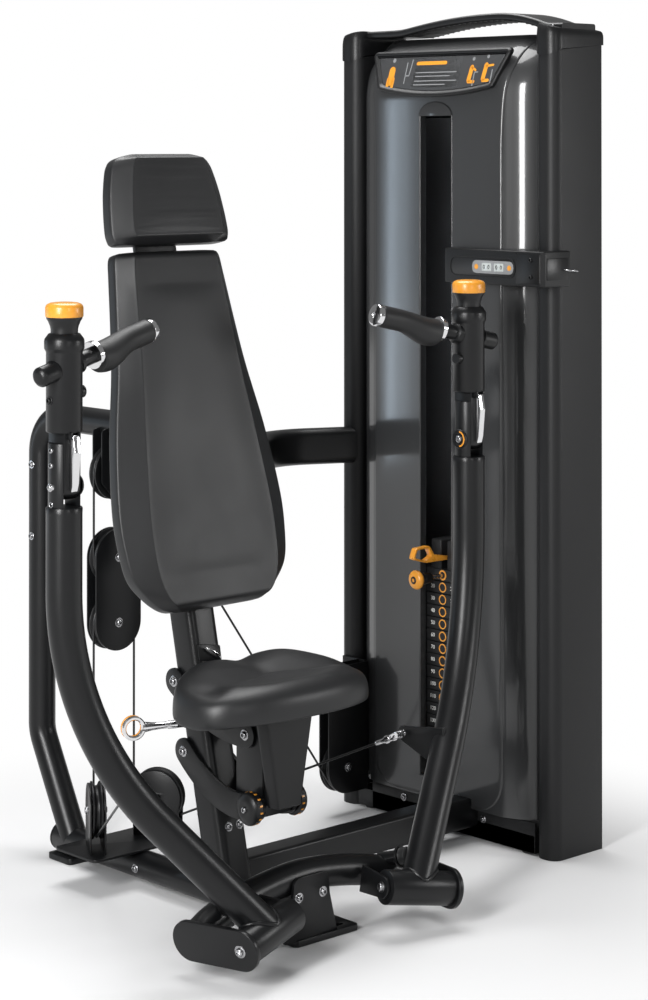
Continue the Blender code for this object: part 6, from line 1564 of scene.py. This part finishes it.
def pulley(name, centre, plane):
    axis, first, second = axesOf(Vector(plane).cross(up))
    half, rim = sheave["thick"] / 2, sheave["radius"]
    groove = pitchR - sheave["cableR"] - 0.0014
    bore = axleR + 0.0005
    rings = []
    profile = [(-half, bore), (-half, 0.0150), (-half + 0.0006, 0.0158), (-half * 0.35, 0.0170), (-half * 0.35, 0.0415),
               (-half + 0.0006, 0.0430), (-half, 0.0440), (-half, rim - 0.0008), (-half + 0.0008, rim),
               (-half * 0.72, rim), (-half * 0.62, rim - 0.0010), (-0.0034, groove + 0.0008), (-0.0018, groove)]
    profile += [(-a, b) for a, b in reversed(profile)]
    for along, radius in profile:
        rings.append([centre + axis * along + first * a + second * b for a, b in circle(radius, 64)])
    spokes = []
    for k in range(6):
        turn = Matrix.Rotation(math.pi * k / 3, 3, axis)
        out = turn @ first
        side = axis.cross(out)
        for face in (-1, 1):
            flat = [centre + out * a + side * b + axis * face * half * 0.30
                    for a, b in ((0.016, -0.0032), (0.0425, -0.0026), (0.0425, 0.0026), (0.016, 0.0032))]
            spokes.append(soften(loft([flat, [p + axis * face * half * 0.55 for p in flat]]), 0.0006, 1, 50))
    piece(name + "Sheave", join(loft(rings, closed=True), *spokes), "black_plastic", name, (name,))


for name, centre, plane in (("float_upper_pulley", floatHigh, alongX), ("float_lower_pulley", floatLow, alongX),
                            ("upper_pulley", upper, alongX), ("left_base_pulley", basePulley, baseDir),
                            ("right_base_pulley", mirrorBase, mirrorDir), ("tower_front_pulley", towerFront, alongX),
                            ("tower_rear_pulley", towerRear, alongX), ("top_rear_pulley", topRear, topDir),
                            ("top_front_pulley", topFront, topDir)):
    pulley(name, centre, plane)


def bracket(outline, centre, plane, axles):
    plane = Vector(plane)
    axis = plane.cross(up)
    solids, heads = [], []
    for offset in (cheekAt, -cheekAt - sheave["cheekT"]):
        spot = Vector((centre.x, centre.y, 0)) + axis * (offset + sheave["cheekT"])
        solids.append(plate(outline, spot, plane, up, -sheave["cheekT"], 0.0009, 2))
    outside = cheekAt + sheave["cheekT"]
    for place, radius in axles:
        solids.append(rod(Vector(place) - axis * outside, Vector(place) + axis * outside, radius, 24))
        heads += [bolt(Vector(place) + axis * outside * k, axis * k, 0.0082 if radius > 0.006 else 0.006)
                  for k in (1, -1)]
    return solids, heads


blockLine = arc((0, floatLow.z), guardR, 180, 360, 36) + arc((0, floatHigh.z), guardR, 0, 180, 36)
solids, heads = bracket(blockLine, floatLow, alongX, ((floatLow, axleR), (floatHigh, axleR)))
piece("floatBlock", join(*solids), "powder_coat", "float_block", ("float_block",))
piece("floatScrews", join(*heads), "zinc", "float_block")
topArm = rear["topZ"]
hanger = roundPoly([(-0.046, upper.z - 0.02), (-0.020, upper.z - 0.048), (0.062, 0.808), (0.070, 0.824),
                    (0.050, topArm - 0.006), (-0.046, topArm - 0.006)], 0.012)
solids, heads = bracket(hanger, upper, alongX, ((upper, axleR), (Vector((pitchR, driveY, 0.824)), 0.005)))
piece("upperBracket", join(*solids), "powder_coat", stands=("upper_pulley_bracket",))
frameHeads = heads
padFloor = runnerZ + base["radius"] + gap + 0.006
saddle = [(-0.050, padFloor - 0.001), (0.050, padFloor - 0.001)]
saddle += arc((0, basePulley.z), sheave["radius"] - 0.003, -20, 200, 36)
solids, heads = bracket(saddle, basePulley, baseDir, ((basePulley, axleR),))
plinth = plate(roundRect(-0.140, 0.140, basePulley.y - 0.070, basePulley.y + 0.075, 0.015), (0, 0, padFloor - 0.006),
               alongX, alongY, 0.006)
piece("baseBracket", join(both(join(*solids)), plinth), "powder_coat", stands=("base_pulley_bracket",))
frameHeads.append(both(join(*heads)))
flangeX = tower["x"] - gap - 0.0077
forkX = flangeX - towerFront.x + 0.002
fork = arc((0, towerFront.z), guardR, 180, 270, 24)
fork += [(forkX, towerFront.z - guardR), (forkX, 0.352), (-0.020, 0.352), (-guardR, 0.30)]
solids, heads = bracket(fork, towerFront, alongX, ((towerFront, axleR),))
flange = block((flangeX, driveY - cheekAt + 0.008, 0.080), (tower["x"] - gap, rearPost + 0.012, 0.352), 0.0010)
step = block((flangeX, driveY - cheekAt - sheave["cheekT"] / 4, 0.090), (flangeX + 0.0055, driveY, 0.342), 0.0008)
piece("towerBracket", join(flange, step, *solids), "powder_coat", stands=("tower_pulley_bracket",))
frameHeads += heads
frameHeads += [bolt((flangeX, rearPost, z), -alongX, 0.0068) for z in (0.140, 0.300)]
reachTop = (topRear - topFront).length
shelf = 1.686
railLine = [(-0.02, shelf), (reachTop - 0.030, shelf), (reachTop + 0.02, 1.732), (reachTop + 0.02, 1.767),
            (-0.02, 1.767)]
solids, heads = bracket(railLine, topFront, -topDir, ((topFront, axleR), (topRear, axleR)))
piece("topBracket", join(*solids), "bright_steel", stands=("guide_frame",))
piece("bracketScrews", join(*frameHeads), "zinc")
print("pulleys done")


# Drive cables, cut where the stretch changes body
def wrap(centre, plane, start, end, steps=28):
    plane = Vector(plane)
    return [centre + plane * a + up * b for a, b in arc((0, 0), pitchR, start, end, steps)]


def strand(name, points, body=None, stands=()):
    return piece(name, sweep(points, circle(sheave["cableR"], 16), (0.3, 0.9, 0.1)), "coated_cable", body, stands)


# A taut length has rings at its ends alone, so that it runs straight between them
def stretch(start, end):
    return [Vector(start), Vector(end)]


pinFlat = Vector((baseDir.dot(lugPin - basePulley), lugPin.z - basePulley.z))
leave = math.degrees(math.atan2(pinFlat.y, pinFlat.x) - math.acos(pitchR / pinFlat.length))
half = wrap(floatLow, alongX, 90, 0)
twin = [Vector((-p.x, p.y, p.z)) for p in half[::-1]]
strand("armCableTop", twin[:-1] + half, "float_block", ("arm_cable",))
for name, sign in sides:
    turn = lambda points: [Vector((p.x * sign, p.y, p.z)) for p in points]
    foot = wrap(basePulley, baseDir, 180, 360 + leave)
    straight = turn(stretch(half[-1], foot[0]))
    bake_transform(strand(name + "CableLeg", straight))
    strand(name + "CableFoot", turn(foot), "frame")
    run = (lugPin - foot[-1]).normalized()
    forkStart = lugPin - run * (arm["lugR"] + arm["forkL"])
    tail = turn(stretch(foot[-1], forkStart))
    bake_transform(strand(name + "CableTail", tail), "frame", name + "_arm", tail[0], tail[-1])
    ferrule = turned(((-0.002, 0.0038), (0.000, 0.0050), (0.018, 0.0050), (0.0185, 0.0062), (0.0215, 0.0062),
                      (0.022, 0.0085), (0.030, 0.0085), (0.0308, 0.0070), (0.038, 0.0066), (0.0395, 0.0085),
                      (0.046, 0.0085), (0.048, 0.0070)), forkStart, run, count=32)
    side = run.cross(alongX).normalized()
    along = side.cross(alongX)
    along = -along if along.dot(run) < 0 else along
    tines = []
    for k in (-1, 1):
        spot = forkStart + run * 0.044 + alongX * (k * 0.0082 - 0.0016)
        tines.append(plate(capsule((0, 0), (0.0225, 0), 0.0058, 0.0075), spot, along, side, 0.0030, 0.0006, 2))
    piece(name + "CableFork", flip(join(ferrule, *tines), sign), "chrome", name + "_arm")
gapLine = towerFront - upper
flatGap = Vector((gapLine.x, gapLine.z))
k = 2 * pitchR / flatGap.length
normal = flatGap.normalized() * k + Vector((-flatGap.y, flatGap.x)).normalized() * math.sqrt(1 - k * k)
leave = math.degrees(math.atan2(normal.y, normal.x))
deadEnd = Vector((pitchR, driveY, 0.796))
around = wrap(floatHigh, alongX, 0, -180)
over = wrap(upper, alongX, 180, leave)
first = stretch(deadEnd, around[0])
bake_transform(strand("deadLeg", first))
strand("floatWrap", around, "float_block", ("stack_cable",))
second = stretch(around[-1], over[0])
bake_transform(strand("riseLeg", second))
through = over + wrap(towerFront, alongX, leave + 180, 270) + wrap(towerRear, alongX, 270, 360)
through += wrap(topRear, topDir, 180, 90) + wrap(topFront, topDir, 90, 0)
strand("towerRun", through, "frame")
third = stretch(through[-1], (stackMid, towerMid, hoodTop + 0.0243))
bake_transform(strand("stackDrop", third))
socket = turned(((gap, 0.0080), (0.0012, 0.0090), (0.012, 0.0088), (0.024, 0.0060), (0.026, 0.0045)),
                (stackMid, towerMid, hoodTop), up, count=32)
piece("stackSocket", socket, "chrome", "weight_carriage")
eyeEnd = turned(((0.792, 0.0042), (0.794, 0.0050), (0.816, 0.0050), (0.818, 0.0042)), (pitchR, driveY, 0), up, count=24)
piece("deadEye", eyeEnd, "chrome")
print("cables done")
